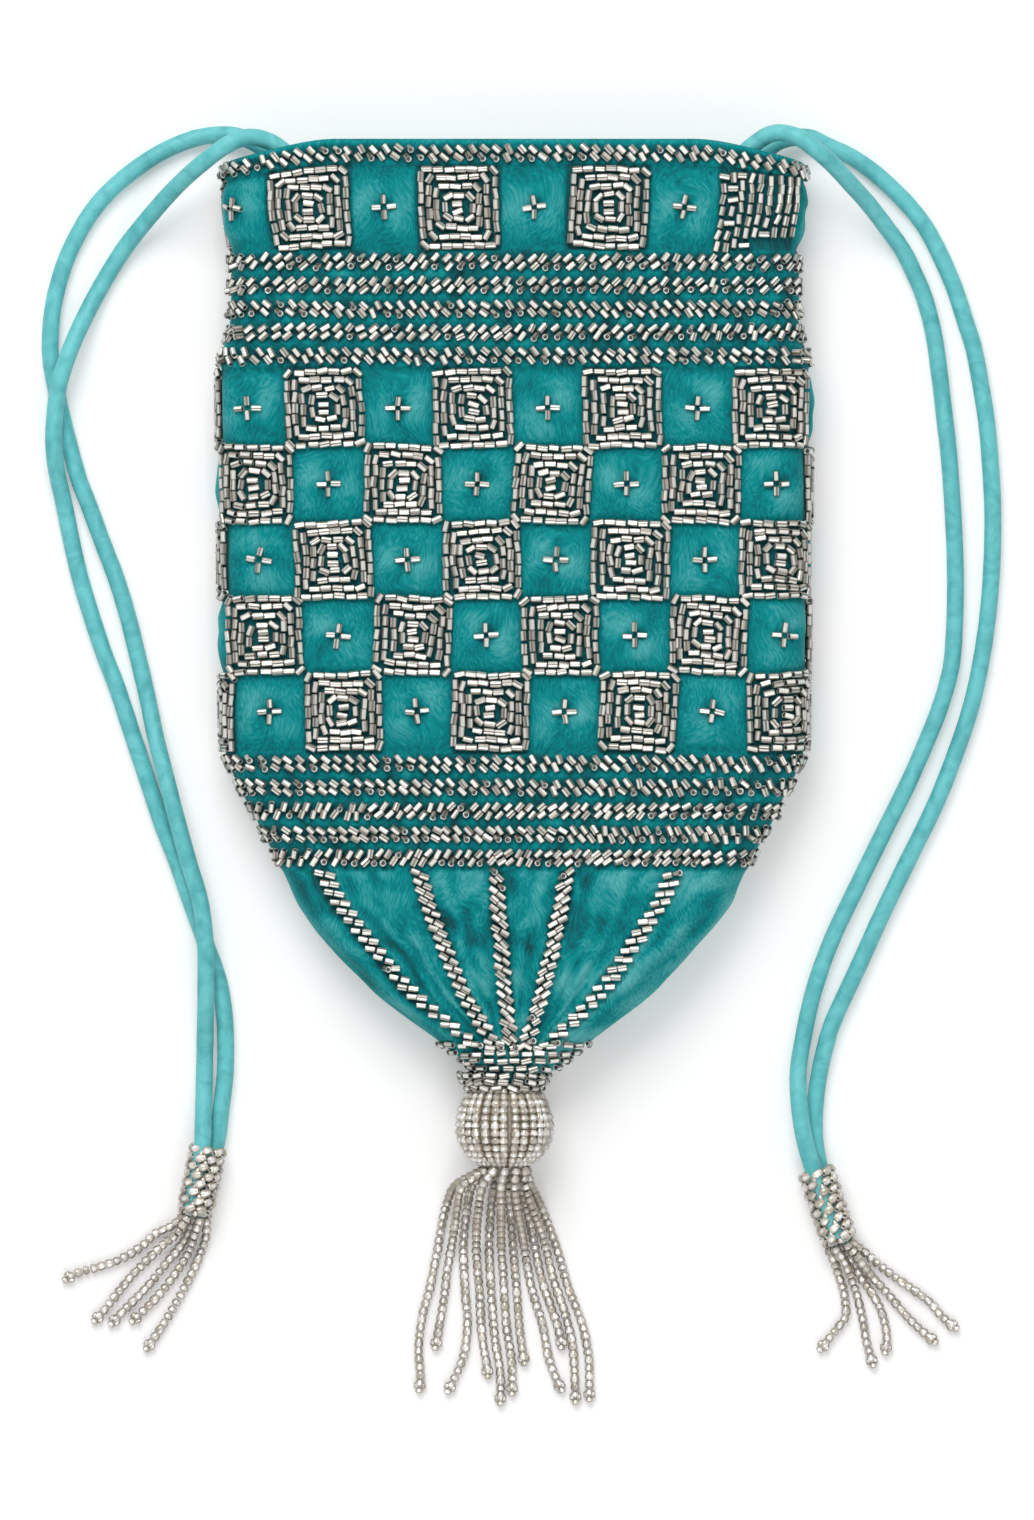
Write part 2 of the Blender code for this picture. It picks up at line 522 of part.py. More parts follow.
def top_checks(collection):
    """The spaced checks under the rim, ridged on the front and plain on the side and the back."""
    made = {"front": 0, "back": 0}
    for across in top_check_places():
        bm = bmesh.new()
        if abs(across) <= FLAT_HALF:
            face = "front"
            ridged_square(bm, across, TOP_CHECK_DROP, TOP_CHECK_SIZE, CHECK_RIDGES)
        else:
            face = "back"
            flat_box(bm, across, TOP_CHECK_DROP, TOP_CHECK_SIZE, TOP_CHECK_SIZE, CLEARANCE, BACK_BEAD_HEIGHT)
        wrap(bm)
        made[face] += 1
        name = f"top_check_{face}_{made[face]}"
        add_object(name, mesh_from(bm, name), BUGLES, collection)


def bead_row(name, drop, slant, collection):
    """A row of slanted bead pairs over the front and round both sides, as a band of slanted ridges."""
    count = 2 * ROW_RIDGES
    lines = [FLAT_HALF * (2 * i / count - 1) for i in range(count + 1)]
    lines = [-FRONT_REACH] + lines + [FRONT_REACH]
    bm = bmesh.new()
    bmesh.ops.create_grid(bm, x_segments=len(lines) - 1, y_segments=1, size=1.0)
    columns = sorted({round(vert.co.x, 6) for vert in bm.verts})
    low = CLEARANCE + BEAD_THICKNESS - RIDGE_DEPTH
    for vert in bm.verts:
        i = columns.index(round(vert.co.x, 6))
        on_front = 1 < i < len(lines) - 2
        edge = math.copysign(1.0, vert.co.y)
        vert.co.x = lines[i] + (slant * edge * ROW_SLANT / 2 if on_front else 0.0)
        vert.co.y = -drop + edge * ROW_HEIGHT / 2
        vert.co.z = CLEARANCE + BEAD_THICKNESS if i % 2 or not on_front else low
    base = bmesh.ops.extrude_face_region(bm, geom=bm.faces[:])["geom"]
    for vert in (item for item in base if isinstance(item, bmesh.types.BMVert)):
        vert.co.z = CLEARANCE
    bmesh.ops.recalc_face_normals(bm, faces=bm.faces[:])
    wrap(bm)
    return add_object(name, mesh_from(bm, name), BUGLES, collection)


def bead_rows(collection):
    bead_row("rim_row", RIM_ROW_DROP, -1, collection)
    for band, first, slants in (
        ("upper", UPPER_ROWS_DROP, UPPER_ROW_SLANTS),
        ("lower", LOWER_ROWS_DROP, LOWER_ROW_SLANTS),
    ):
        for i, slant in enumerate(slants):
            bead_row(f"{band}_row_{i + 1}", first + ROW_PITCH * i, slant, collection)


def tip_cap(collection, cutters):
    """Rows of beads round the tip, and the five ribs of bead pairs that run down the front into them."""
    rows = [(CAP_DROP, CLEARANCE)]
    for i in range(2 * CAP_ROWS + 1):
        drop = CAP_DROP + (CAP_END - CAP_DROP) * i / (2 * CAP_ROWS)
        rows.append((drop, BACK_BEAD_HEIGHT if i % 2 else BACK_BEAD_HEIGHT - RIDGE_DEPTH))
    rows.append((CAP_END, CLEARANCE))
    rows += [(row[0], CLEARANCE) for row in reversed(OUTLINE) if CAP_DROP < row[0] < CAP_END]
    bm = bmesh.new()
    rings = [[bm.verts.new(on_bag(across, drop, out)) for across in fold_lines()] for drop, out in rows]
    for i, upper in enumerate(rings):
        lower = rings[(i + 1) % len(rings)]
        for j in range(len(upper)):
            bm.faces.new((upper[j - 1], upper[j], lower[j], lower[j - 1]))
    bmesh.ops.recalc_face_normals(bm, faces=bm.faces[:])
    cap = add_object("tip_cap", mesh_from(bm, "tip_cap"), BUGLES, collection)

    ribs = bmesh.new()
    foot = CAP_DROP + RIB_OVERLAP
    for top in RIB_TOPS:
        count = round((foot - RIB_TOP_DROP) / RIB_RIDGE_PITCH) * 2
        rib = bmesh.new()
        bmesh.ops.create_grid(rib, x_segments=1, y_segments=count, size=1.0)
        for vert in rib.verts:
            share = (1.0 - vert.co.y) / 2
            drop = RIB_TOP_DROP + (foot - RIB_TOP_DROP) * share
            flat = section(drop)[0] - section(drop)[1]
            middle = top * flat / (section(RIB_TOP_DROP)[0] - section(RIB_TOP_DROP)[1])
            x = middle + vert.co.x * RIB_WIDTH / 2 * (1.0 - RIB_NARROWING * share)
            ridge = RIDGE_DEPTH if round(share * count) % 2 else 0.0
            vert.co = Vector((x * FLAT_HALF / flat, -drop, BACK_BEAD_HEIGHT - ridge))
        base = bmesh.ops.extrude_face_region(rib, geom=rib.faces[:])["geom"]
        for vert in (item for item in base if isinstance(item, bmesh.types.BMVert)):
            vert.co.z = CLEARANCE
        bmesh.ops.recalc_face_normals(rib, faces=rib.faces[:])
        wrap(rib)
        piece = mesh_from(rib, "rib")
        ribs.from_mesh(piece)
        bpy.data.meshes.remove(piece)
    helper = add_object("front_ribs", mesh_from(ribs, "front_ribs"), BUGLES, cutters)
    join = cap.modifiers.new("ribs", "BOOLEAN")
    join.operation = "UNION"
    join.object = helper


def ball_surface(radius):
    """How far the ball reaches along Y at a distance from its axis."""
    return BALL_HALF_LENGTH * math.sqrt(1.0 - (radius / BALL_RADIUS) ** 2)


def tassel_ball(collection):
    """The wooden ball covered by strands of seed beads from pole to pole, each a ridge."""
    bm = bmesh.new()
    bmesh.ops.create_uvsphere(bm, u_segments=2 * BALL_RIDGES, v_segments=10, radius=1.0)
    for vert in bm.verts:
        turn = round(math.atan2(vert.co.y, vert.co.x) / math.pi * BALL_RIDGES)
        across = math.hypot(vert.co.x, vert.co.y)
        groove = BALL_RIDGE_DEPTH if turn % 2 and across > 0.1 else 0.0
        scale = (BALL_RADIUS - groove * across) / BALL_RADIUS
        x, y, z = vert.co * scale
        vert.co = BALL_CENTRE + Vector((x * BALL_RADIUS, z * BALL_HALF_LENGTH, y * BALL_RADIUS))
    bmesh.ops.recalc_face_normals(bm, faces=bm.faces[:])
    ball = add_object("tassel_ball", mesh_from(bm, "tassel_ball"), SEED_BEADS, collection)
    ball.data.shade_smooth()
    return ball


def picture_point(point):
    return Vector(((point[0] - PIXEL_X) * PIXEL, (PIXEL_Y - point[1]) * PIXEL, point[2] * MM))


def smooth_route(points, count):
    """Points at even steps along a smooth curve through the given ones."""
    padded = [2 * points[0] - points[1]] + points + [2 * points[-1] - points[-2]]
    fine = []
    for a, b, c, d in zip(padded, padded[1:], padded[2:], padded[3:]):
        for i in range(12):
            t = i / 12
            fine.append(0.5 * (2 * b + (c - a) * t + (2 * a - 5 * b + 4 * c - d) * t ** 2
                               + (3 * b - a - 3 * c + d) * t ** 3))
    fine.append(points[-1])
    lengths = [0.0]
    for a, b in zip(fine, fine[1:]):
        lengths.append(lengths[-1] + (b - a).length)
    route = []
    j = 0
    for i in range(count):
        want = lengths[-1] * i / (count - 1)
        while j < len(fine) - 2 and lengths[j + 1] < want:
            j += 1
        share = (want - lengths[j]) / (lengths[j + 1] - lengths[j])
        route.append(fine[j].lerp(fine[j + 1], share))
    return route


def tube(name, route, diameter, sides, finish, collection):
    curve = bpy.data.curves.new(name, "CURVE")
    curve.dimensions = "3D"
    curve.bevel_depth = diameter / 2
    curve.bevel_resolution = sides // 2 - 2
    curve.use_fill_caps = True
    spline = curve.splines.new("POLY")
    spline.points.add(len(route) - 1)
    for point, place in zip(spline.points, route):
        point.co = (*place, 1.0)
    return add_object(name, curve, finish, collection)


def drawstrings(collection):
    """Two cords through the casing, one in front and one behind, and the four tails that they leave by."""
    for name, tail in TAILS:
        route = smooth_route([picture_point(point) for point in tail], TAIL_POINTS)
        tube(name, route, CORD_DIAMETER, 8, CORD_CLOTH, collection)
    for name, left, right in (
        ("drawstring_front_run", FRONT_LEFT_TAIL, FRONT_RIGHT_TAIL),
        ("drawstring_back_run", BACK_LEFT_TAIL, BACK_RIGHT_TAIL),
    ):
        start, end = picture_point(left[0]), picture_point(right[0])
        y = RIM_Y - RUN_DROP
        first = Vector((start.x + RUN_INSET, y, start.z))
        last = Vector((end.x - RUN_INSET, y, end.z))
        route = [first.lerp(last, i / (RUN_POINTS - 1)) for i in range(RUN_POINTS)]
        tube(name, route, CORD_DIAMETER, 8, CORD_CLOTH, collection)


TAILS = (
    ("drawstring_front_left_tail", FRONT_LEFT_TAIL),
    ("drawstring_back_left_tail", BACK_LEFT_TAIL),
    ("drawstring_front_right_tail", FRONT_RIGHT_TAIL),
    ("drawstring_back_right_tail", BACK_RIGHT_TAIL),
)


def settle(share):
    """1 at the start of a fall, 0 at its end, level at both."""
    share = min(max(share, 0.0), 1.0)
    return 1.0 - share * share * (3.0 - 2.0 * share)


def strand(name, start, outline, fall, count, collection):
    """A strand of seed beads that falls from its start to the table, and lies there along its outline."""
    points = [start]
    for place in outline:
        drop = settle((place.xy - start.xy).length / fall)
        place.z = STRAND_REST + (start.z - STRAND_REST) * drop
        points.append(place)
    route = smooth_route(points, count)
    for place in route:
        place.z = max(place.z, STRAND_REST)
    tube(name, route, STRAND_DIAMETER, 6, SEED_BEADS, collection)


def tassel(collection):
    """The strands at the foot of the ball: the odd ones leave the lower half of the neck, the even ones the upper."""
    for i, outline in enumerate(TASSEL_ROUTES):
        lower = i % 2 == 0
        angle = math.pi * (1 + i / 10) if lower else math.pi * (5 - (i - 1) / 2) / 6
        across = NECK_RADIUS * math.cos(angle)
        height = BALL_CENTRE.z + NECK_RADIUS * math.sin(angle)
        start_y = BALL_CENTRE.y - ball_surface(NECK_RADIUS - STRAND_DIAMETER / 2) - CLEARANCE
        start = Vector((BALL_CENTRE.x + across, start_y, height))
        fall = LOWER_FALL if lower else UPPER_FALL
        below = [
            Vector((BALL_CENTRE.x + (x - BALL_PIXEL_X) * PIXEL, BALL_CENTRE.y - (y - BALL_PIXEL_Y) * PIXEL, 0.0))
            for x, y in outline
        ]
        strand(f"tassel_strand_{i + 1}", start, below, fall, STRAND_POINTS + 1, collection)


def collar(name, ends, collection):
    """The netted sleeve of seed beads over the two cord ends: a turned barrel with a ridge for each row."""
    top = picture_point((*ends[0], COLLAR_HEIGHT / MM))
    foot = picture_point((*ends[1], COLLAR_HEIGHT / MM))
    axis = foot - top
    steps = 2 * COLLAR_ROWS
    bm = bmesh.new()
    profile = [(0.0, 0.0)]
    for i in range(steps + 1):
        radius = COLLAR_RADIUS if i % 2 else COLLAR_RADIUS - COLLAR_RIDGE
        profile.append((radius, axis.length * i / steps))
    profile.append((0.0, axis.length))
    verts = [bm.verts.new((radius, 0.0, -down)) for radius, down in profile]
    edges = [bm.edges.new(pair) for pair in zip(verts, verts[1:])]
    bmesh.ops.spin(bm, geom=verts + edges, cent=(0, 0, 0), axis=(0, 0, 1), angle=2 * math.pi,
                   steps=COLLAR_SIDES, use_merge=True, use_duplicate=False)
    bmesh.ops.remove_doubles(bm, verts=bm.verts[:], dist=1e-6)
    bmesh.ops.recalc_face_normals(bm, faces=bm.faces[:])
    barrel = add_object(name, mesh_from(bm, name), SEED_BEADS, collection)
    barrel.location = top
    barrel.rotation_mode = "QUATERNION"
    barrel.rotation_quaternion = Vector((0, 0, -1)).rotation_difference(axis)
    barrel.data.shade_smooth()
    return top, foot


def collar_strands(name, ends, routes, collection):
    """Five strands below a collar: three leave it low and two high, and all come to rest side by side."""
    foot = picture_point((*ends[1], COLLAR_HEIGHT / MM))
    axis = (foot - picture_point((*ends[0], COLLAR_HEIGHT / MM))).normalized()
    beside = Vector((-axis.y, axis.x, 0.0))
    for i, (outline, (across, up)) in enumerate(zip(routes, COLLAR_SPOTS)):
        start = foot + axis * COLLAR_GAP + beside * across * MM + Vector((0, 0, up * MM))
        fall = COLLAR_LOWER_FALL if up < 0 else COLLAR_UPPER_FALL
        below = [picture_point((x, y, 0.0)) for x, y in outline]
        strand(f"{name}_{i + 1}", start, below, fall, STRAND_POINTS, collection)


def build():
    for old in list(bpy.data.objects):
        bpy.data.objects.remove(old, do_unlink=True)
    parts = bpy.data.collections.new("beaded_bag")
    cutters = bpy.data.collections.new("cutters")
    for collection in (parts, cutters):
        bpy.context.scene.collection.children.link(collection)
    velvet_shell(parts, cutters)
    lining(parts, cutters)
    checkerboards(parts, cutters)
    top_checks(parts)
    bead_rows(parts)
    tip_cap(parts, cutters)
    tassel_ball(parts)
    tassel(parts)
    drawstrings(parts)
    collar("left_collar", LEFT_COLLAR, parts)
    collar("right_collar", RIGHT_COLLAR, parts)
    collar_strands("left_collar_strand", LEFT_COLLAR, LEFT_STRANDS, parts)
    collar_strands("right_collar_strand", RIGHT_COLLAR, RIGHT_STRANDS, parts)
    cutters.hide_render = True


build()
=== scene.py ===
import math
import random

import bpy
import numpy as np
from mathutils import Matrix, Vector, noise


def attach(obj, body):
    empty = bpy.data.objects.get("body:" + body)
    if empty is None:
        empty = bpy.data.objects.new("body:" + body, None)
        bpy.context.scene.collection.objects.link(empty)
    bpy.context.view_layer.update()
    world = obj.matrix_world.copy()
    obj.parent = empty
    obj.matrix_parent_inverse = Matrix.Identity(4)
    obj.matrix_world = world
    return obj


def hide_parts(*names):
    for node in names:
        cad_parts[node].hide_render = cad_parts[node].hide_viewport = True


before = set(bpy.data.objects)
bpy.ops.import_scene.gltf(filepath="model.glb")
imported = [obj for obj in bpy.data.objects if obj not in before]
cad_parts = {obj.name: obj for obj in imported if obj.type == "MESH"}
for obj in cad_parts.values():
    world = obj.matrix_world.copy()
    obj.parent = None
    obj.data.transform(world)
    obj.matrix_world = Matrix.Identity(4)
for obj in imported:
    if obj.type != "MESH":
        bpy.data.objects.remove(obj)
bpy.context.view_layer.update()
bpy.context.scene.view_settings.view_transform = "Standard"

# Camera
# It looks straight down on the bag from far off, as the photograph does.
MM = 0.001
camera_data = bpy.data.cameras.new("camera")
camera_data.lens = 36.0 * 2.0 / 0.3344
camera_data.clip_start = 0.05
camera_data.clip_end = 20.0
camera = bpy.data.objects.new("camera", camera_data)
camera.location = (0.55 * MM, 3.96 * MM, 2.01)
bpy.context.scene.collection.objects.link(camera)
bpy.context.scene.camera = camera

# Light and floor
# A white table, a broad lamp over the mouth of the bag and a weaker one below its tassel.
world = bpy.data.worlds.new("studio")
bpy.context.scene.world = world
world.use_nodes = True
sky = world.node_tree
sky.nodes.clear()
path = sky.nodes.new("ShaderNodeLightPath")
seen = sky.nodes.new("ShaderNodeMath")
seen.operation = "MAXIMUM"
seen_too = sky.nodes.new("ShaderNodeMath")
seen_too.operation = "MAXIMUM"
level = sky.nodes.new("ShaderNodeMapRange")
level.inputs["To Min"].default_value = 0.45
level.inputs["To Max"].default_value = 1.0
glow = sky.nodes.new("ShaderNodeBackground")
glow.inputs["Color"].default_value = (1.0, 1.0, 1.0, 1.0)
sky_out = sky.nodes.new("ShaderNodeOutputWorld")
sky.links.new(path.outputs["Is Camera Ray"], seen.inputs[0])
sky.links.new(path.outputs["Is Glossy Ray"], seen.inputs[1])
sky.links.new(seen.outputs[0], seen_too.inputs[0])
sky.links.new(path.outputs["Is Transmission Ray"], seen_too.inputs[1])
sky.links.new(seen_too.outputs[0], level.inputs["Value"])
sky.links.new(level.outputs["Result"], glow.inputs["Strength"])
sky.links.new(glow.outputs[0], sky_out.inputs["Surface"])


def lamp(name, place, size, power):
    """A square softbox at a place, turned towards the middle of the bag."""
    data = bpy.data.lights.new(name, "AREA")
    data.shape = "SQUARE"
    data.size = size
    data.energy = power
    box = bpy.data.objects.new(name, data)
    box.location = place
    box.rotation_mode = "QUATERNION"
    box.rotation_quaternion = (-Vector(place)).to_track_quat("-Z", "Y")
    bpy.context.scene.collection.objects.link(box)


lamp("key_softbox", (-0.2, 0.8, 0.95), 0.75, 9.0)
lamp("fill_softbox", (0.15, -0.8, 0.9), 0.75, 3.0)

bpy.ops.object.select_all(action="DESELECT")
bpy.ops.mesh.primitive_plane_add(size=6.0)
table = bpy.context.object
table.name = "white_table"
table_finish = bpy.data.materials.new("white_table")
table_finish.use_nodes = True
table_nodes = table_finish.node_tree
table_shader = table_nodes.nodes["Principled BSDF"]
table_shader.inputs["Base Color"].default_value = (0.9, 0.9, 0.9, 1.0)
table_shader.inputs["Roughness"].default_value = 0.9
table_shader.inputs["Specular IOR Level"].default_value = 0.1
table_shader.inputs["Emission Color"].default_value = (1.0, 1.0, 1.0, 1.0)
table_path = table_nodes.nodes.new("ShaderNodeLightPath")
lift = table_nodes.nodes.new("ShaderNodeMath")
lift.operation = "MULTIPLY"
lift.inputs[1].default_value = 0.2
table_nodes.links.new(table_path.outputs["Is Camera Ray"], lift.inputs[0])
table_nodes.links.new(lift.outputs[0], table_shader.inputs["Emission Strength"])
table.data.materials.append(table_finish)


# Drawstrings
# Two soft turquoise cloth cords, about 4 mm thick. Each leaves the casing under the rim by a buttonhole
# at both sides, and its tails lie on the table down to the netted collars, crossing each other.
def picture_point(x, y, height):
    """A point of the row frame from a place in the picture and a height in millimetres."""
    return Vector(((x - 514.5) * 0.22 * MM, (778.0 - y) * 0.22 * MM, height * MM))


cord_width = 3.8 * MM
tail_routes = {
    "drawstring_front_left_tail": (
        (297, 166, 14.7), (285, 153, 14.6), (270, 143, 14.5), (250, 139, 15.9), (228, 147.5, 18.1),
        (198, 169, 15.5), (168, 195, 9.0), (130.7, 236.6, 3.4), (109, 268, 2.0), (91.2, 299.8, 2.6),
        (77.3, 329.5, 4.8), (66, 358, 6.1), (57.5, 387, 6.2), (53.5, 420, 6.2), (52.8, 445, 5.8),
        (55.7, 472, 4.2), (62, 502, 2.2), (69.7, 540.3, 1.95), (78.7, 578.6, 1.95), (90.2, 616.8, 1.95),
        (102.9, 655, 1.95), (115.7, 688.3, 1.95), (131, 735, 1.95), (146, 780, 1.95), (161, 825, 1.95),
        (174.7, 860, 1.95), (188.7, 900, 1.95), (203, 940, 1.95), (217, 980, 1.95), (222.5, 1010, 1.95),
        (224.5, 1040, 1.95), (224, 1075, 1.95), (220, 1110, 1.95), (215.5, 1144, 2.3),
    ),
    "drawstring_back_left_tail": (
        (281, 166, 4.9), (269, 153, 4.9), (254, 141.5, 4.9), (233.6, 133.7, 4.2), (209.8, 133.2, 2.9),
        (188, 137.7, 2.1), (162.4, 148.6, 1.95), (138.6, 163.4, 1.95), (115, 182, 1.95),
        (95.1, 203, 1.95), (79.3, 226.7, 1.95), (66.5, 252.4, 1.95), (57.6, 278, 1.95),
        (50.5, 310, 1.95), (48.3, 347.3, 1.95), (51.6, 375, 1.95), (58, 405, 1.95), (66.5, 440, 1.95),
        (77, 478, 1.95), (86.3, 502, 1.95), (100.4, 540.3, 1.95), (114.9, 578.6, 1.95),
        (126.5, 616.8, 1.95), (136, 655, 1.95), (145.5, 695, 2.0), (154, 735, 3.2),
        (164.5, 775, 5.2), (175, 815, 6.1), (187.3, 860, 6.2), (199.3, 900, 6.2), (204.6, 940, 6.2),
        (205.2, 985, 5.9), (204.5, 1020, 4.0), (203.6, 1055, 2.3), (203, 1085, 2.4),
        (202.4, 1115, 3.8), (201.8, 1143, 5.6),
    ),
    "drawstring_front_right_tail": (
        (733, 166, 14.7), (745, 153, 14.6), (757, 143, 14.5), (768, 136.5, 15.0), (780.5, 134.7, 16.4),
        (797.3, 139.7, 17.9), (815, 152.5, 18.0), (833, 167.3, 15.6), (850.7, 185, 12.0),
        (868.5, 203, 8.0), (886.3, 224.7, 4.8), (904, 248.4, 2.6), (916, 272, 2.0),
        (925.9, 295.9, 1.95), (935.5, 333, 1.95), (941.7, 377, 1.95), (946.6, 418.5, 1.95),
        (950.4, 451, 1.95), (954.2, 502, 1.95), (956.7, 553, 1.95), (957, 604, 1.95),
        (954.4, 655, 1.95), (949.6, 680.6, 1.95), (942, 706, 1.95), (932.2, 731.6, 1.95),
        (910.3, 782, 1.95), (884.7, 833.6, 1.95), (858.4, 887.2, 1.95), (833, 940.7, 1.95),
        (814.2, 994.3, 1.95), (802.7, 1047.9, 2.2), (799, 1075, 3.4), (799.5, 1101.5, 5.4),
        (802.7, 1128.3, 6.1), (807.5, 1150, 6.1), (812.6, 1167, 6.05),
    ),
    "drawstring_back_right_tail": (
        (752, 166, 4.9), (764, 153, 4.9), (776, 142, 5.0), (791, 136.5, 4.6), (810.2, 135.5, 3.2),
        (829, 143.6, 2.1), (850.7, 153.5, 1.95), (870.5, 166.4, 1.95), (890.3, 183.2, 1.95),
        (908, 201, 1.95), (923.9, 220.7, 1.95), (937.7, 244.5, 1.95), (955, 283, 1.95),
        (966.5, 318, 1.95), (975.7, 347.3, 1.95), (983.2, 386.8, 1.95), (988.2, 418.5, 1.95),
        (991.4, 451, 1.95), (994.5, 502, 1.95), (994.2, 553, 1.95), (990.9, 604, 1.95),
        (984, 655, 1.95), (973, 706, 1.95), (956, 757, 1.95), (936, 806.8, 1.95),
        (909.8, 860.4, 1.95), (883.9, 914, 1.95), (859.7, 967.5, 1.95), (835, 1021, 1.95),
        (826, 1050, 1.95), (820, 1078, 1.95), (816.5, 1105, 1.95), (815.5, 1130, 1.95),
        (817, 1150, 2.0), (820.2, 1165.5, 2.05),
    ),
}


def smooth_points(points, steps):
    """Points on the smooth curve through the given ones, with so many steps between each two."""
    ends = [2 * points[0] - points[1]] + points + [2 * points[-1] - points[-2]]
    fine = []
    for a, b, c, d in zip(ends, ends[1:], ends[2:], ends[3:]):
        for i in range(steps):
            t = i / steps
            fine.append(0.5 * (2 * b + (c - a) * t + (2 * a - 5 * b + 4 * c - d) * t ** 2
                               + (3 * b - a - 3 * c + d) * t ** 3))
    return fine + [points[-1]]


def route_length(points):
    return sum((b - a).length for a, b in zip(points, points[1:]))


def even_points(points, pitch):
    """Points on a route, a pitch apart, with the direction of the route at each."""
    spots = []
    walked = 0.0
    wanted = 0.0
    for a, b in zip(points, points[1:]):
        step = (b - a).length
        while walked + step >= wanted:
            spots.append((a.lerp(b, (wanted - walked) / step), (b - a).normalized()))
            wanted += pitch
        walked += step
    return spots


def soft_cord(name, points, width):
    """A cloth cord as a curve through the points, a little thicker and thinner along its length."""
    curve = bpy.data.curves.new(name, "CURVE")
    curve.dimensions = "3D"
    curve.bevel_depth = width / 2
    curve.bevel_resolution = 6
    curve.use_fill_caps = True
    line = curve.splines.new("POLY")
    line.points.add(len(points) - 1)
    for i, (point, spot) in enumerate(zip(line.points, points)):
        point.co = (*spot, 1.0)
        point.radius = 1.0 + 0.03 * noise.noise(Vector((i * 0.6, spot.x * 50, 0.0)))
    cord = bpy.data.objects.new(name, curve)
    bpy.context.scene.collection.objects.link(cord)
    return cord


cord_finish = bpy.data.materials.new("turquoise_cord_cloth")
cord_finish.use_nodes = True
cord_nodes = cord_finish.node_tree
cord_shader = cord_nodes.nodes["Principled BSDF"]
cord_shader.inputs["Roughness"].default_value = 0.5
cord_shader.inputs["Sheen Weight"].default_value = 0.25
cord_shader.inputs["Sheen Roughness"].default_value = 0.4
cord_shader.inputs["Sheen Tint"].default_value = (0.7, 1.0, 1.0, 1.0)
cord_place = cord_nodes.nodes.new("ShaderNodeTexCoord")
creases = cord_nodes.nodes.new("ShaderNodeTexNoise")
creases.inputs["Scale"].default_value = 190.0
creases.inputs["Detail"].default_value = 3.0
creases.inputs["Distortion"].default_value = 1.2
# The crease noise also colours the cord: painted shade where the creases sink in and lighter where they rise, as the
# same noise drives the bump.
cord_tones_and_crease_shade = cord_nodes.nodes.new("ShaderNodeValToRGB")
cord_tones_and_crease_shade.color_ramp.elements[0].position = 0.3
cord_tones_and_crease_shade.color_ramp.elements[0].color = (0.082, 0.44, 0.46, 1.0)
cord_tones_and_crease_shade.color_ramp.elements[1].position = 0.62
cord_tones_and_crease_shade.color_ramp.elements[1].color = (0.15, 0.60, 0.62, 1.0)
weave = cord_nodes.nodes.new("ShaderNodeTexNoise")
weave.inputs["Scale"].default_value = 2600.0
weave.inputs["Detail"].default_value = 2.0
cord_relief = cord_nodes.nodes.new("ShaderNodeMath")
cord_relief.operation = "MULTIPLY_ADD"
cord_relief.inputs[1].default_value = 0.25
cord_bump = cord_nodes.nodes.new("ShaderNodeBump")
cord_bump.inputs["Strength"].default_value = 0.35
cord_bump.inputs["Distance"].default_value = 0.3 * MM
cord_nodes.links.new(cord_place.outputs["Object"], creases.inputs["Vector"])
cord_nodes.links.new(cord_place.outputs["Object"], weave.inputs["Vector"])
cord_nodes.links.new(creases.outputs["Fac"], cord_tones_and_crease_shade.inputs["Fac"])
cord_nodes.links.new(cord_tones_and_crease_shade.outputs["Color"], cord_shader.inputs["Base Color"])
cord_nodes.links.new(weave.outputs["Fac"], cord_relief.inputs[0])
cord_nodes.links.new(creases.outputs["Fac"], cord_relief.inputs[2])
cord_nodes.links.new(cord_relief.outputs[0], cord_bump.inputs["Height"])
cord_nodes.links.new(cord_bump.outputs["Normal"], cord_shader.inputs["Normal"])

collar_height = 4.05
collar_ends = {
    "left_collar": ((207.0, 1150.0), (193.5, 1217.0)),
    "right_collar": ((817.0, 1173.0), (841.0, 1245.0)),
}
tails = {}
tail_paths = {}
for name, route in tail_routes.items():
    spots = [picture_point(*spot) for spot in route]
    head, foot = (picture_point(*spot, collar_height)
                  for spot in collar_ends["left_collar" if "left" in name else "right_collar"])
    along = (foot - head).normalized()
    aside = spots[-1] - head
    aside -= along * aside.dot(along)
    aside *= 1.5 * MM / aside.length
    spots += [head.lerp(foot, share) + aside for share in (0.2, 0.55, 0.92)]
    points = smooth_points(spots, 6)
    tail = soft_cord(name.replace("drawstring", "cord"), points, cord_width)
    tail.data.materials.append(cord_finish)
    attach(tail, "root")
    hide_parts(name)
    tails[name] = tail
    tail_paths[name] = points

for name, left, right, height in (
    ("drawstring_front_run", -44.85, 45.07, 14.7),
    ("drawstring_back_run", -48.37, 49.25, 4.9),
):
    ends = [Vector((x * MM, 133.2 * MM, height * MM)) for x in (left, right)]
    run = soft_cord(name.replace("drawstring", "cord"), smooth_points(ends, 20), cord_width)
    run.data.materials.append(cord_finish)
    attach(run, "root")
    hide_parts(name)
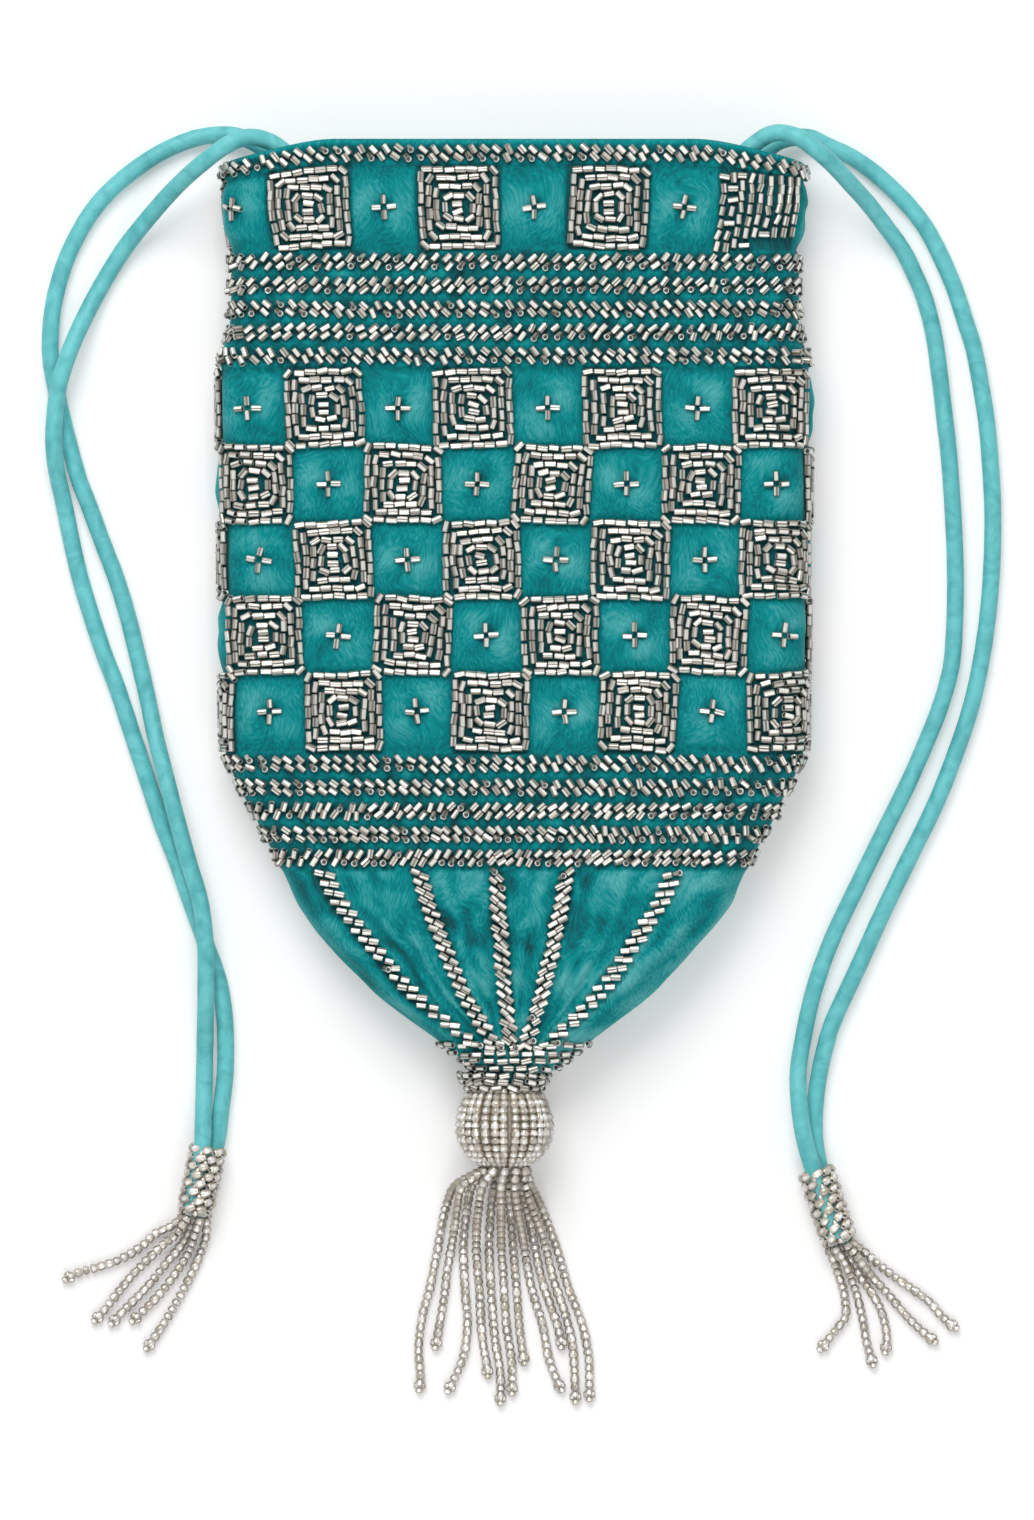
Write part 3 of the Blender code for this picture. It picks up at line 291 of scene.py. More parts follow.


# One seed bead
# A round clear glass bead, 2.1 mm across with a silver-lined hole along X, modelled once: the copies in
# the collars, the ball and the tassels are turned and tinted one by one, with painted highlights and painted shade.
def bead_shape(sides, radius, half_length, rim, belly, band):
    """A bead along X as points and faces: a cylinder with inset, hollow ends and loops round its middle."""
    bpy.ops.object.select_all(action="DESELECT")
    bpy.ops.mesh.primitive_cylinder_add(vertices=sides, radius=radius, depth=2 * half_length,
                                        rotation=(0.0, math.pi / 2, 0.0))
    bead = bpy.context.object
    bpy.ops.object.transform_apply(location=False, rotation=True, scale=False)
    bpy.ops.object.mode_set(mode="EDIT")
    bpy.ops.mesh.select_mode(type="FACE")
    for cut in (-half_length + band, half_length - band):
        bpy.ops.mesh.select_all(action="SELECT")
        bpy.ops.mesh.bisect(plane_co=(cut, 0.0, 0.0), plane_no=(1.0, 0.0, 0.0))
        bpy.ops.transform.resize(value=(1.0, belly, belly))
    bpy.ops.mesh.select_all(action="DESELECT")
    bpy.ops.object.mode_set(mode="OBJECT")
    for face in bead.data.polygons:
        face.select = abs(face.normal.x) > 0.99
    bpy.ops.object.mode_set(mode="EDIT")
    bpy.ops.mesh.inset(thickness=rim, depth=-0.14 * MM, use_individual=True)
    bpy.ops.object.mode_set(mode="OBJECT")
    points = np.array([vert.co[:] for vert in bead.data.vertices])
    faces = [list(face.vertices) for face in bead.data.polygons]
    bpy.data.objects.remove(bead)
    return points, faces


seed_shape = bead_shape(8, 0.72 * MM, 0.8 * MM, 0.3 * MM, 1.4, 0.45 * MM)
bead_chance = random.Random(11)


def bead_string(name, shape, places, painted_light_colours, lining, sparkle):
    """One mesh of beads. A place is a centre, an axis, an up direction, a length and width share and a tone.

    Each face is coloured with painted light: a painted highlight on the facets that face up, light and dark lines
    along a bead as a painted reflection of the silver lining, and painted shade at its sides and ends, warmer where
    it is darker, with a middle tone on the rims and painted shade in the hole. The tone of a sewn bead that stands
    upright also holds painted shade.
    """
    points, faces = shape
    bright, edge, painted_hole_shade = (np.array(colour) for colour in painted_light_colours)
    middles = np.array([points[face].mean(axis=0) for face in faces])
    reach = np.abs(points[:, 0]).max()
    girth = np.hypot(points[:, 1], points[:, 2])
    inner = girth.min() * 1.05
    in_hole = np.array([girth[face].max() < inner for face in faces])
    on_rim = np.array([girth[face].min() < inner for face in faces]) & ~in_hole
    at_end = ~in_hole & ~on_rim & (np.abs(middles[:, 0]) > 0.6 * reach)
    # The lining gives each of ten facets its share of painted reflection, and the sparkle sets how far a face must
    # turn up before it takes the painted highlight.
    least, span = sparkle
    facet = np.round(np.degrees(np.arctan2(middles[:, 1], middles[:, 2])) / 36.0).astype(int) % 10
    outward = middles * (0.0, 1.0, 1.0)
    outward /= np.maximum(np.linalg.norm(outward, axis=1), 1e-9)[:, None]
    corner_face = np.repeat(np.arange(len(faces)), [len(face) for face in faces])
    all_points = []
    all_colours = []
    all_faces = []
    for centre, axis, up, long, wide, tone_and_painted_light in places:
        axis = axis.normalized()
        side = up.cross(axis).normalized()
        top = axis.cross(side)
        roll = bead_chance.uniform(0.0, 2 * math.pi)
        turned = side * math.cos(roll) + top * math.sin(roll)
        frame_of = np.array([axis, turned, axis.cross(turned)])
        # Painted highlight on the faces turned up and outward, painted shade on the sides, more painted shade at the
        # ends, warmer in tint where darker; the rims take a middle tone and the holes painted shade.
        seen = np.array((up + Vector((0.0, 0.0, 0.8 if up.z > -0.3 else -0.8))).normalized())
        facing = (outward @ frame_of) @ seen
        light = np.clip((facing - least) / span, 0.0, 1.0) * np.array(lining)[facet]
        light[at_end] *= 0.42
        face_colour = edge + (bright - edge) * light[:, None]
        face_colour *= np.array((1.0, 0.95, 0.84)) ** (1.0 - light[:, None])
        face_colour[on_rim] = edge + (bright - edge) * 0.5
        face_colour[in_hole] = painted_hole_shade
        start = len(all_points) * len(points)
        all_points.append((points * (long, wide, wide)) @ frame_of + np.array(centre))
        all_colours.append(np.clip(face_colour * tone_and_painted_light, 0.0, 1.0)[corner_face])
        all_faces += [[start + corner for corner in face] for face in faces]
    mesh = bpy.data.meshes.new(name)
    mesh.from_pydata(np.concatenate(all_points), [], all_faces)
    rgba = np.ones((len(mesh.loops), 4))
    rgba[:, :3] = np.concatenate(all_colours)
    mesh.color_attributes.new("bead_tone_and_painted_light", "FLOAT_COLOR", "CORNER").data.foreach_set("color", rgba.ravel())
    beads = bpy.data.objects.new(name, mesh)
    bpy.context.scene.collection.objects.link(beads)
    bpy.ops.object.select_all(action="DESELECT")
    beads.select_set(True)
    bpy.context.view_layer.objects.active = beads
    bpy.ops.object.shade_smooth_by_angle(angle=math.radians(50))
    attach(beads, "root")
    return beads


def glass_finish(name, metallic, roughness):
    """Silver-lined glass: each bead's tint with its painted highlights and painted shade, a mirror lining and a
    clear, glossy coat over it.
    """
    finish = bpy.data.materials.new(name)
    finish.use_nodes = True
    links = finish.node_tree.links
    shader = finish.node_tree.nodes["Principled BSDF"]
    # This tint holds each bead's painted highlights and painted shade.
    tint_with_painted_light = finish.node_tree.nodes.new("ShaderNodeVertexColor")
    tint_with_painted_light.layer_name = "bead_tone_and_painted_light"
    links.new(tint_with_painted_light.outputs["Color"], shader.inputs["Base Color"])
    place = finish.node_tree.nodes.new("ShaderNodeTexCoord")
    ripple = finish.node_tree.nodes.new("ShaderNodeTexNoise")
    ripple.inputs["Scale"].default_value = 1400.0
    bump = finish.node_tree.nodes.new("ShaderNodeBump")
    bump.inputs["Strength"].default_value = 0.25
    bump.inputs["Distance"].default_value = 0.1 * MM
    links.new(place.outputs["Object"], ripple.inputs["Vector"])
    links.new(ripple.outputs["Fac"], bump.inputs["Height"])
    links.new(bump.outputs["Normal"], shader.inputs["Normal"])
    shader.inputs["Metallic"].default_value = metallic
    shader.inputs["Roughness"].default_value = roughness
    shader.inputs["Coat Weight"].default_value = 0.8
    shader.inputs["Coat Roughness"].default_value = 0.06
    return finish


seed_finish = glass_finish("clear_seed_glass", 0.25, 0.2)
# Seed bead colours: painted highlight, painted shade at the sides and painted shade in the hole; then where the
# painted highlight starts and how fast it grows; then each facet's share of painted reflection from the lining.
seed_painted_light_colours = ((1.0, 1.0, 1.0), (0.43, 0.39, 0.345), (0.16, 0.14, 0.12))
seed_sparkle = (0.62, 0.3)
seed_painted_reflection_bands = (1.0, 0.5, 1.0, 0.1, 1.0, 0.9, 0.8, 0.3, 1.0, 0.8)


def seed_places(spots):
    """Seed beads along a route, each a little different in size and brightness."""
    places = []
    for spot, along in spots:
        long = bead_chance.choice((0.85, 1.0, 1.1, 1.3))
        wide = bead_chance.uniform(0.9, 1.0)
        places.append((spot, along, Vector((0.0, 0.0, 1.0)), long, wide, bead_chance.uniform(0.74, 1.08)))
    return places


# Collars and their strands
# Each pair of cord ends is held in a net of seed beads, with the cloth showing through it. Five strands
# of seed beads hang from it, each ending in three beads.
collar_strands = {
    "left_collar": (
        ((172, 1227), (153.3, 1236), (138, 1250), (116.5, 1262.5), (93.6, 1270), (73.7, 1276), (58.4, 1285.4)),
        ((176, 1235), (162.5, 1246), (148, 1260), (131, 1277), (117, 1294), (104.3, 1310), (88, 1329)),
        ((186, 1237), (176, 1252), (165, 1265), (150, 1284), (136, 1299), (122, 1313), (107, 1329)),
        ((193, 1239), (187, 1255), (177, 1271), (165, 1288), (152, 1303), (139, 1316), (125, 1329)),
        ((205, 1237), (200, 1253), (192.5, 1271), (183, 1290), (173, 1308), (161, 1328), (144, 1353)),
    ),
    "right_collar": (
        ((836, 1264), (840, 1278), (844.8, 1292), (847, 1307), (847, 1319), (840, 1329), (820, 1354)),
        ((847, 1268), (852.5, 1281), (858, 1296), (861.9, 1311), (865, 1326), (868.2, 1345), (876.4, 1374)),
        ((856, 1268), (864, 1282), (873, 1295), (881, 1309), (886.5, 1326), (888.5, 1343), (886, 1359)),
        ((863, 1265), (873, 1278), (884, 1290), (896, 1304), (908, 1318), (921, 1331), (941, 1348)),
        ((866, 1254), (878, 1265), (893.3, 1277), (913.2, 1291), (931, 1304), (944, 1319), (960, 1333)),
    ),
}
collar_spots = ((-2.75, -1.2), (-1.4, 1.35), (0.0, -1.2), (1.4, 1.35), (2.75, -1.2))


def settle(share):
    """1 at the start of a fall and 0 at its end, level at both."""
    share = min(max(share, 0.0), 1.0)
    return 1.0 - share * share * (3.0 - 2.0 * share)


def picot(spot, along):
    """The three beads that end a strand: one each side of the thread and one at its tip."""
    beside = Vector((-along.y, along.x, 0.0)).normalized()
    up = Vector((0.0, 0.0, 1.0))
    first = spot + along * 1.1 * MM
    return [
        (first + beside * 0.75 * MM, beside, up, 0.72, 0.74, 0.95),
        (first - beside * 0.75 * MM, beside, up, 0.72, 0.74, 0.85),
        (first + along * 1.15 * MM, along, up, 0.72, 0.74, 1.05),
    ]


def strand_places(start, below, fall):
    """Seed beads from a start down to the table and along it, closed by a picot."""
    rest = 1.03 * MM
    points = [start]
    for place in below:
        height = rest + (start.z - rest) * settle((place.xy - start.xy).length / fall)
        points.append(Vector((place.x, place.y, height)))
    fine = smooth_points(points, 8)
    for place in fine:
        place.z = max(place.z, rest)
    spots = even_points(fine, 1.78 * MM)
    places = seed_places(spots[:-1])
    last, along = spots[-1]
    return places + picot(last - along * 2.4 * MM, along)


collar_beads = {}
for name, (top, foot) in collar_ends.items():
    head = picture_point(*top, collar_height)
    end = picture_point(*foot, collar_height)
    axis = (end - head).normalized()
    beside = Vector((-axis.y, axis.x, 0.0))
    up = Vector((0.0, 0.0, 1.0))
    rows = 8
    places = []
    for row in range(rows):
        middle = head.lerp(end, (row + 0.35) / rows) - axis * 0.4 * MM
        for i in range(8):
            angle = 2 * math.pi * (i + 0.5 * (row % 2)) / 8 + bead_chance.gauss(0.0, 0.06)
            out = beside * math.cos(angle) + up * math.sin(angle)
            round_it = up * math.cos(angle) - beside * math.sin(angle)
            round_it += axis * bead_chance.uniform(0.3, 0.6)
            place = middle + out * 3.3 * MM
            places.append((place, round_it, out, bead_chance.uniform(1.25, 1.5), 0.92,
                           bead_chance.uniform(0.85, 1.15)))
            if i % 2 == row % 2:
                link_out = beside * math.cos(angle + 0.35) + up * math.sin(angle + 0.35)
                link = middle + axis * 1.0 * MM + link_out * 3.25 * MM
                places.append((link, axis, out, 0.7, 0.58, bead_chance.uniform(0.75, 1.0)))
    net = bead_string(name + "_net", seed_shape, places, seed_painted_light_colours, seed_painted_reflection_bands, seed_sparkle)
    net.data.materials.append(seed_finish)
    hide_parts(name)
    collar_beads[name] = [net]

    for i, (outline, (across, rise)) in enumerate(zip(collar_strands[name], collar_spots)):
        start = end + axis * 0.9 * MM + beside * across * MM + up * rise * MM
        below = [picture_point(x, y, 0.0) for x, y in outline]
        places = strand_places(start, below, (6.0 if rise < 0 else 11.0) * MM)
        strand = bead_string(f"{name}_strand_{i + 1}_beads", seed_shape, places, seed_painted_light_colours, seed_painted_reflection_bands, seed_sparkle)
        strand.data.materials.append(seed_finish)
        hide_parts(f"{name}_strand_{i + 1}")
        collar_beads[name].append(strand)

for name, tail in tails.items():
    points = tail_paths[name]


# Velvet
# The bag is one teal crushed velvet sock, pressed flat. It is pulled down where beads are sewn to it,
# puffs up in the plain squares and between the ribs, and its nap is brushed every way. Its colour carries
# painted shade near the beads and in the hollows, and painted light on the puffs and folds.
bag_length = 207.3 * MM
rim_y = 140.1 * MM
half_bag_width = 64.6 * MM
half_bag_thickness = 8.2 * MM
flat_half = half_bag_width - half_bag_thickness
half_girth = 2 * flat_half + math.pi * half_bag_thickness
bag_height = 1.6 * MM + half_bag_thickness
ball_centre = Vector((-2.2, -77.1, 10.75)) * MM
outline_drops = np.array((0.0, 15.0, 24.65, 39.8, 49.8, 134.5, 144.6, 154.9, 160.2, 167.0, 180.2, 188.0,
                          197.8, 202.6, 205.2, 207.3)) * MM
outline_widths = np.array((0.981, 0.981, 0.960, 0.957, 1.0, 0.986, 0.910, 0.823, 0.786, 0.729, 0.565,
                           0.454, 0.262, 0.167, 0.115, 0.068)) * half_bag_width
outline_depths = np.array((1.0, 1.0, 1.0, 1.0, 1.0, 1.0, 1.0, 1.0, 1.0, 0.976, 0.939, 0.902, 0.854,
                           0.805, 0.683, 0.415)) * half_bag_thickness
fine_drops = np.arange(0.0, bag_length + 0.4 * MM, 0.5 * MM)


def rounded(values):
    """The outline without its corners: each value is the mean of those 2 mm either way."""
    fine = np.interp(fine_drops, outline_drops, values)
    padded = np.concatenate([np.full(4, fine[0]), fine, 2 * fine[-1] - fine[-2:-6:-1]])
    return np.convolve(padded, np.ones(9) / 9, mode="valid")


fine_widths = rounded(outline_widths)
fine_depths = rounded(outline_depths)


def on_bag(across, drop, out):
    """A point of the cloth: across from the middle of the front, below the rim, and off the velvet."""
    half_width = float(np.interp(drop, fine_drops, fine_widths))
    half_depth = float(np.interp(drop, fine_drops, fine_depths))
    rise = max(0.0, (drop - 160.2 * MM) / (bag_length - 160.2 * MM))
    height = bag_height + rise * (ball_centre.z - bag_height)
    flat = half_width - half_depth
    side = math.copysign(1.0, across)
    reach = abs(across)
    if reach <= flat_half:
        x = side * reach * flat / flat_half
        angle = 0.0
    elif reach <= flat_half + math.pi * half_bag_thickness:
        x = side * flat
        angle = (reach - flat_half) / half_bag_thickness
    else:
        x = side * (half_girth - reach) * flat / flat_half
        angle = math.pi
    from_side = abs(reach - half_girth / 2)
    corner = max(0.0, 1.0 - from_side / (half_girth / 2 - 40.0 * MM))
    dip = 4.8 * MM * corner * corner * (3.0 - 2.0 * corner) * max(0.0, 1.0 - drop / (15 * MM))
    radius = half_depth + out
    return Vector((x + side * radius * math.sin(angle), rim_y - drop - dip, height + radius * math.cos(angle)))


check_size = 17.8 * MM
rim_row = 3.2 * MM
top_check_size = 18.6 * MM
top_check_drop = 15.1 * MM
upper_rows = [27.0 * MM + 5.15 * MM * i for i in range(5)]
lower_rows = [137.0 * MM + 5.15 * MM * i for i in range(5)]
rib_top = 160.2 * MM
rib_foot = 199.4 * MM
rib_starts = (-42.0 * MM, -21.0 * MM, -4.0 * MM, 11.4 * MM, 35.0 * MM)
top_check_places = [(-46.2 + 33.7 * i) * MM for i in range(-2, 6)]


def check_centre(row, column):
    return (-9.1 + 16.4 * column + 0.95 * row) * MM, (59.1 + 16.6 * row) * MM


def pillow(across, drop, middle_across, middle_drop, half):
    """1 in the middle of a plain square, 0 on its edges and beyond."""
    u = min(abs(across - middle_across) / half, 1.0)
    v = min(abs(drop - middle_drop) / half, 1.0)
    return (1.0 - u ** 2.6) * (1.0 - v ** 2.6)


def plain_square(across, drop, middle, half):
    """The puff of a square of bare velvet, drawn in at the cross in its middle, and its painted light: lighter on
    the puff and with the brushed nap, painted shade in the dimple at the cross.
    """
    swell = pillow(across, drop, *middle, half)
    aside = across - middle[0]
    below = drop - middle[1]
    gone = math.hypot(aside, below)
    turn = math.atan2(below, aside)
    whim = noise.noise(Vector((middle[0] * 130, middle[1] * 130, 2.0))) * 9.0
    creases = math.sin(3 * turn + whim) * math.exp(-((gone - 4.5 * MM) / (2.6 * MM)) ** 2)
    wander = noise.noise(Vector((across * 210, drop * 210, 4.0)))
    lift = 1.5 * swell - 0.95 * math.exp(-(gone / (2.4 * MM)) ** 2) + (0.22 * creases + 0.4 * wander) * swell
    brushed = 0.5 + 0.5 * math.sin(2 * turn + whim * 0.7 + gone / MM * 0.25)
    # Painted light on the puff, varied by the brushed nap and random patches; painted shade in the dimple at the
    # cross.
    light = 0.33 + swell ** 0.7 * (0.14 + 0.36 * brushed + 0.3 * wander)
    light -= 0.3 * math.exp(-(gone / (2.2 * MM)) ** 2)
    return lift, light


def cloth_form(across, drop):
    """How far the velvet stands off its base shape in millimetres, and how light it is painted there: random patches
    of nap, painted light on puffs and folds, painted shade near beads and in hollows.
    """
    reach = abs(across)
    wander = noise.noise(Vector((across * 75, drop * 75, 0.0)))
    small = noise.noise(Vector((across * 230, drop * 230, 8.0)))
    lift = 0.3 * wander + 0.14 * small
    light = 0.5 + 0.35 * wander
    # Under a check of beads below the rim the velvet gets dark painted shade.
    for place in top_check_places:
        if abs(drop - top_check_drop) < 9.6 * MM and abs(across - place) < 9.5 * MM:
            return lift * MM * 0.5, 0.08
    if 5.6 * MM < drop < 24.8 * MM:
        column = round((across / MM + 46.2 - 16.85) / 33.7)
        middle = ((-46.2 + 16.85 + 33.7 * column) * MM, top_check_drop)
        more, light = plain_square(across, drop, middle, 8.6 * MM)
        lift += more
    elif 50.0 * MM < drop < 134.5 * MM:
        row = min(max(round((drop - 59.1 * MM) / (16.6 * MM)), 0), 4)
        column = round((across / MM + 9.1 - 0.95 * row) / 16.4)
        middle = check_centre(row, column)
        if (row + column) % 2:
            more, light = plain_square(across, drop, middle, 8.1 * MM)
            lift += more
        else:
            # Under a beaded square of the checkerboard the velvet gets dark painted shade.
            lift *= 0.5
            light = 0.08
    for rows in (upper_rows, lower_rows, [rim_row]):
        if rows[0] - 2.5 * MM < drop < rows[-1] + 2.5 * MM:
            between = 0.5 - 0.5 * math.cos(2 * math.pi * (drop - rows[0]) / (5.15 * MM))
            ruck = noise.noise(Vector((across * 260, drop * 150, 3.0)))
            lift += 0.75 * between - 0.2 + 0.45 * ruck * between
            # Painted shade along each row of beads, lighter between the rows.
            light = 0.04 + between * (0.3 + 0.45 * ruck)
            # Painted light on the top edge of the rim.
            if drop < 1.4 * MM:
                light = 0.55
    if drop > rib_top:
        share = min((drop - rib_top) / (rib_foot - rib_top), 1.0)
        spread = 1.0 if reach <= flat_half + 14 * MM else 0.55
        nearest = min(abs(across - start * 1.36) for start in rib_starts) / MM
        swell = math.sin(min(nearest / 8.0, 1.0) * math.pi / 2) ** 1.2
        bulge = math.sin(math.pi * min(0.1 + share * 0.95, 1.0))
        ruck = noise.noise(Vector((across * 75, drop * 95, 1.0)))
        fold = math.sin(across / MM * 0.8 + 2.5 * ruck)
        lift += spread * bulge * (1.7 * swell - 0.3 + 1.3 * ruck + (0.2 + 0.35 * share) * fold)
        # Painted light on the raised rucks, swells and folds of the foot, with random patches of nap.
        light = 0.4 + 0.5 * ruck + 0.1 * swell + 0.07 * fold + 0.4 * small
        # Lighter towards the right edge of the foot.
        light += 0.3 * min(max((across / MM - 44.0) / 14.0, 0.0), 1.0)
        # Painted shade in the valleys beside the rib beads.
        light -= 0.45 * math.exp(-(nearest / (2.2 - 0.6 * share)) ** 2)
    fade = min(1.0, max(0.0, (bag_length - drop) / (6 * MM)))
    return lift * MM * fade * min(1.0, 0.35 + drop / (4 * MM)), light


def puff(across, drop):
    return cloth_form(across, drop)[0]


def wrapped_cloth(name, across_steps, drop_steps, start, end, place):
    """A flat grid of cloth, as wide as the bag is round, wrapped and closed up its back seam."""
    bpy.ops.object.select_all(action="DESELECT")
    bpy.ops.mesh.primitive_grid_add(x_subdivisions=across_steps, y_subdivisions=drop_steps, size=2.0)
    cloth = bpy.context.object
    cloth.name = name
    # The colour attribute keeps the velvet's painted light and shade together with its nap patches.
    nap_and_painted_light = cloth.data.color_attributes.new("nap_and_painted_light", "FLOAT_COLOR", "POINT")
    for vert, tone_and_painted_light in zip(cloth.data.vertices, nap_and_painted_light.data):
        across = vert.co.x * half_girth * 0.99999
        down = start + (1.0 - vert.co.y) / 2 * (end - start)
        vert.co, light = place(across, down)
        tone_and_painted_light.color = (light, light, light, 1.0)
    bpy.ops.object.mode_set(mode="EDIT")
    bpy.ops.mesh.select_all(action="SELECT")
    bpy.ops.mesh.remove_doubles(threshold=0.00001)
    bpy.ops.object.mode_set(mode="OBJECT")
    return cloth


def velvet_place(across, down):
    """The velvet turns in over the rim: what is above it lies inside, down to the casing."""
    if down < 0.0:
        return on_bag(across, -down, -0.8 * MM), 0.5
    lift, light = cloth_form(across, down)
    return on_bag(across, down, lift), min(max(light, 0.0), 1.0)


velvet_steps = ((330, 280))
velvet = wrapped_cloth("velvet_sock", *velvet_steps, -3.0 * MM, bag_length, velvet_place)
tip_ring = [vert.index for vert in velvet.data.vertices if vert.co.y < rim_y - bag_length + 0.01 * MM]
for vert in velvet.data.vertices:
    vert.select = False
for edge in velvet.data.edges:
    edge.select = False
for face in velvet.data.polygons:
    face.select = False
for index in tip_ring:
    velvet.data.vertices[index].select = True
bpy.ops.object.mode_set(mode="EDIT")
bpy.ops.mesh.select_mode(type="VERT")
bpy.ops.mesh.edge_face_add()
bpy.ops.mesh.select_all(action="SELECT")
bpy.ops.mesh.normals_make_consistent(inside=False)
bpy.ops.object.mode_set(mode="OBJECT")
bpy.ops.object.shade_smooth()

velvet_finish = bpy.data.materials.new("teal_crushed_velvet")
velvet_finish.use_nodes = True
nap_and_painted_light = velvet_finish.node_tree
pile = nap_and_painted_light.nodes["Principled BSDF"]
pile.inputs["Roughness"].default_value = 0.85
pile.inputs["Specular IOR Level"].default_value = 0.15
pile.inputs["Sheen Weight"].default_value = 0.45
pile.inputs["Sheen Roughness"].default_value = 0.35
pile.inputs["Sheen Tint"].default_value = (0.35, 0.95, 0.95, 1.0)
pile_place = nap_and_painted_light.nodes.new("ShaderNodeTexCoord")
brush_ways = nap_and_painted_light.nodes.new("ShaderNodeTexNoise")
brush_ways.inputs["Scale"].default_value = 60.0
brush_ways.inputs["Detail"].default_value = 1.0
brush_bend = nap_and_painted_light.nodes.new("ShaderNodeVectorMath")
brush_bend.operation = "MULTIPLY_ADD"
brush_bend.inputs[1].default_value = (0.02, 0.02, 0.0)
brushed = nap_and_painted_light.nodes.new("ShaderNodeMapping")
brushed.inputs["Rotation"].default_value = (0.0, 0.0, 0.5)
brushed.inputs["Scale"].default_value = (1.0, 0.36, 1.0)
fibres = nap_and_painted_light.nodes.new("ShaderNodeTexNoise")
fibres.inputs["Scale"].default_value = 2000.0
fibres.inputs["Detail"].default_value = 2.0
fibres.inputs["Distortion"].default_value = 0.3
lie_and_painted_light = nap_and_painted_light.nodes.new("ShaderNodeVertexColor")
lie_and_painted_light.layer_name = "nap_and_painted_light"
nap_share = nap_and_painted_light.nodes.new("ShaderNodeMath")
nap_share.operation = "MULTIPLY_ADD"
nap_share.inputs[1].default_value = 0.55
nap_share.inputs[2].default_value = 0.055
# The ramp runs from near-black painted shade under and beside the beads, through the teal, to a light teal for
# painted light on the puffs and the lit nap.
nap_and_painted_shade_tones = nap_and_painted_light.nodes.new("ShaderNodeValToRGB")
nap_and_painted_shade_tones.color_ramp.elements[0].position = 0.27
nap_and_painted_shade_tones.color_ramp.elements[0].color = (0.008, 0.055, 0.062, 1.0)
nap_and_painted_shade_tones.color_ramp.elements[1].position = 0.92
nap_and_painted_shade_tones.color_ramp.elements[1].color = (0.11, 0.46, 0.46, 1.0)
nap_and_painted_shade_tones.color_ramp.elements.new(0.44).color = (0.0, 0.15, 0.165, 1.0)
nap_and_painted_shade_tones.color_ramp.elements.new(0.6).color = (0.0, 0.26, 0.275, 1.0)
mixed = nap_and_painted_light.nodes.new("ShaderNodeMath")
mixed.operation = "MULTIPLY_ADD"
mixed.inputs[1].default_value = 0.5
pile_bump = nap_and_painted_light.nodes.new("ShaderNodeBump")
pile_bump.inputs["Strength"].default_value = 0.4
pile_bump.inputs["Distance"].default_value = 0.35 * MM
nap_and_painted_light.links.new(pile_place.outputs["Object"], brush_ways.inputs["Vector"])
nap_and_painted_light.links.new(brush_ways.outputs["Color"], brush_bend.inputs[0])
nap_and_painted_light.links.new(pile_place.outputs["Object"], brush_bend.inputs[2])
nap_and_painted_light.links.new(brush_bend.outputs["Vector"], brushed.inputs["Vector"])
nap_and_painted_light.links.new(brushed.outputs["Vector"], fibres.inputs["Vector"])
nap_and_painted_light.links.new(lie_and_painted_light.outputs["Color"], nap_share.inputs[0])
nap_and_painted_light.links.new(fibres.outputs["Fac"], mixed.inputs[0])
nap_and_painted_light.links.new(nap_share.outputs[0], mixed.inputs[2])
nap_and_painted_light.links.new(mixed.outputs[0], nap_and_painted_shade_tones.inputs["Fac"])
nap_and_painted_light.links.new(nap_and_painted_shade_tones.outputs["Color"], pile.inputs["Base Color"])
nap_and_painted_light.links.new(fibres.outputs["Fac"], pile_bump.inputs["Height"])
nap_and_painted_light.links.new(pile_bump.outputs["Normal"], pile.inputs["Normal"])
velvet.data.materials.append(velvet_finish)
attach(velvet, "root")
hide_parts("velvet_shell")

# Lining
# A thin turquoise cloth inside the velvet, stepped in under the rim to make the casing for the cords.
lining_path = ((3.2, -1.1), (3.2, -5.5), (11.4, -5.5), (14.4, -1.1), (160.2, -1.1), (167.0, -1.7), (188.0, -1.7))
lining_spots = [Vector((drop * MM, out * MM)) for drop, out in lining_path]
lining_length = route_length(lining_spots)


def lining_place(across, down):
    """A point of the lining, at a distance down its own profile, with small soft creases."""
    left = down
    for a, b in zip(lining_spots, lining_spots[1:]):
        step = (b - a).length
        if left <= step or b is lining_spots[-1]:
            break
        left -= step
    spot = a.lerp(b, min(left / step, 1.0))
    crease = -0.25 * MM * (0.5 + 0.5 * noise.noise(Vector((across * 160, down * 50, 5.0))))
    return on_bag(across, spot.x, spot.y + crease), 0.5


lining = wrapped_cloth("lining_cloth", 120, 130, 0.0, lining_length, lining_place)
for vert in lining.data.vertices:
    vert.select = vert.co.y < rim_y - 187.99 * MM
for edge in lining.data.edges:
    edge.select = False
for face in lining.data.polygons:
    face.select = False
bpy.ops.object.mode_set(mode="EDIT")
bpy.ops.mesh.select_mode(type="VERT")
bpy.ops.mesh.edge_face_add()
bpy.ops.mesh.select_all(action="SELECT")
bpy.ops.mesh.normals_make_consistent(inside=False)
bpy.ops.object.mode_set(mode="OBJECT")
bpy.ops.object.shade_smooth()
lining_finish = bpy.data.materials.new("plain_lining")
lining_finish.use_nodes = True
lining_nodes = lining_finish.node_tree
lining_shader = lining_nodes.nodes["Principled BSDF"]
lining_shader.inputs["Roughness"].default_value = 0.75
lining_coords = lining_nodes.nodes.new("ShaderNodeTexCoord")
lining_weave = lining_nodes.nodes.new("ShaderNodeTexNoise")
lining_weave.inputs["Scale"].default_value = 1800.0
lining_weave.inputs["Detail"].default_value = 2.0
lining_tones = lining_nodes.nodes.new("ShaderNodeValToRGB")
lining_tones.color_ramp.elements[0].color = (0.06, 0.31, 0.32, 1.0)
lining_tones.color_ramp.elements[1].color = (0.11, 0.46, 0.47, 1.0)
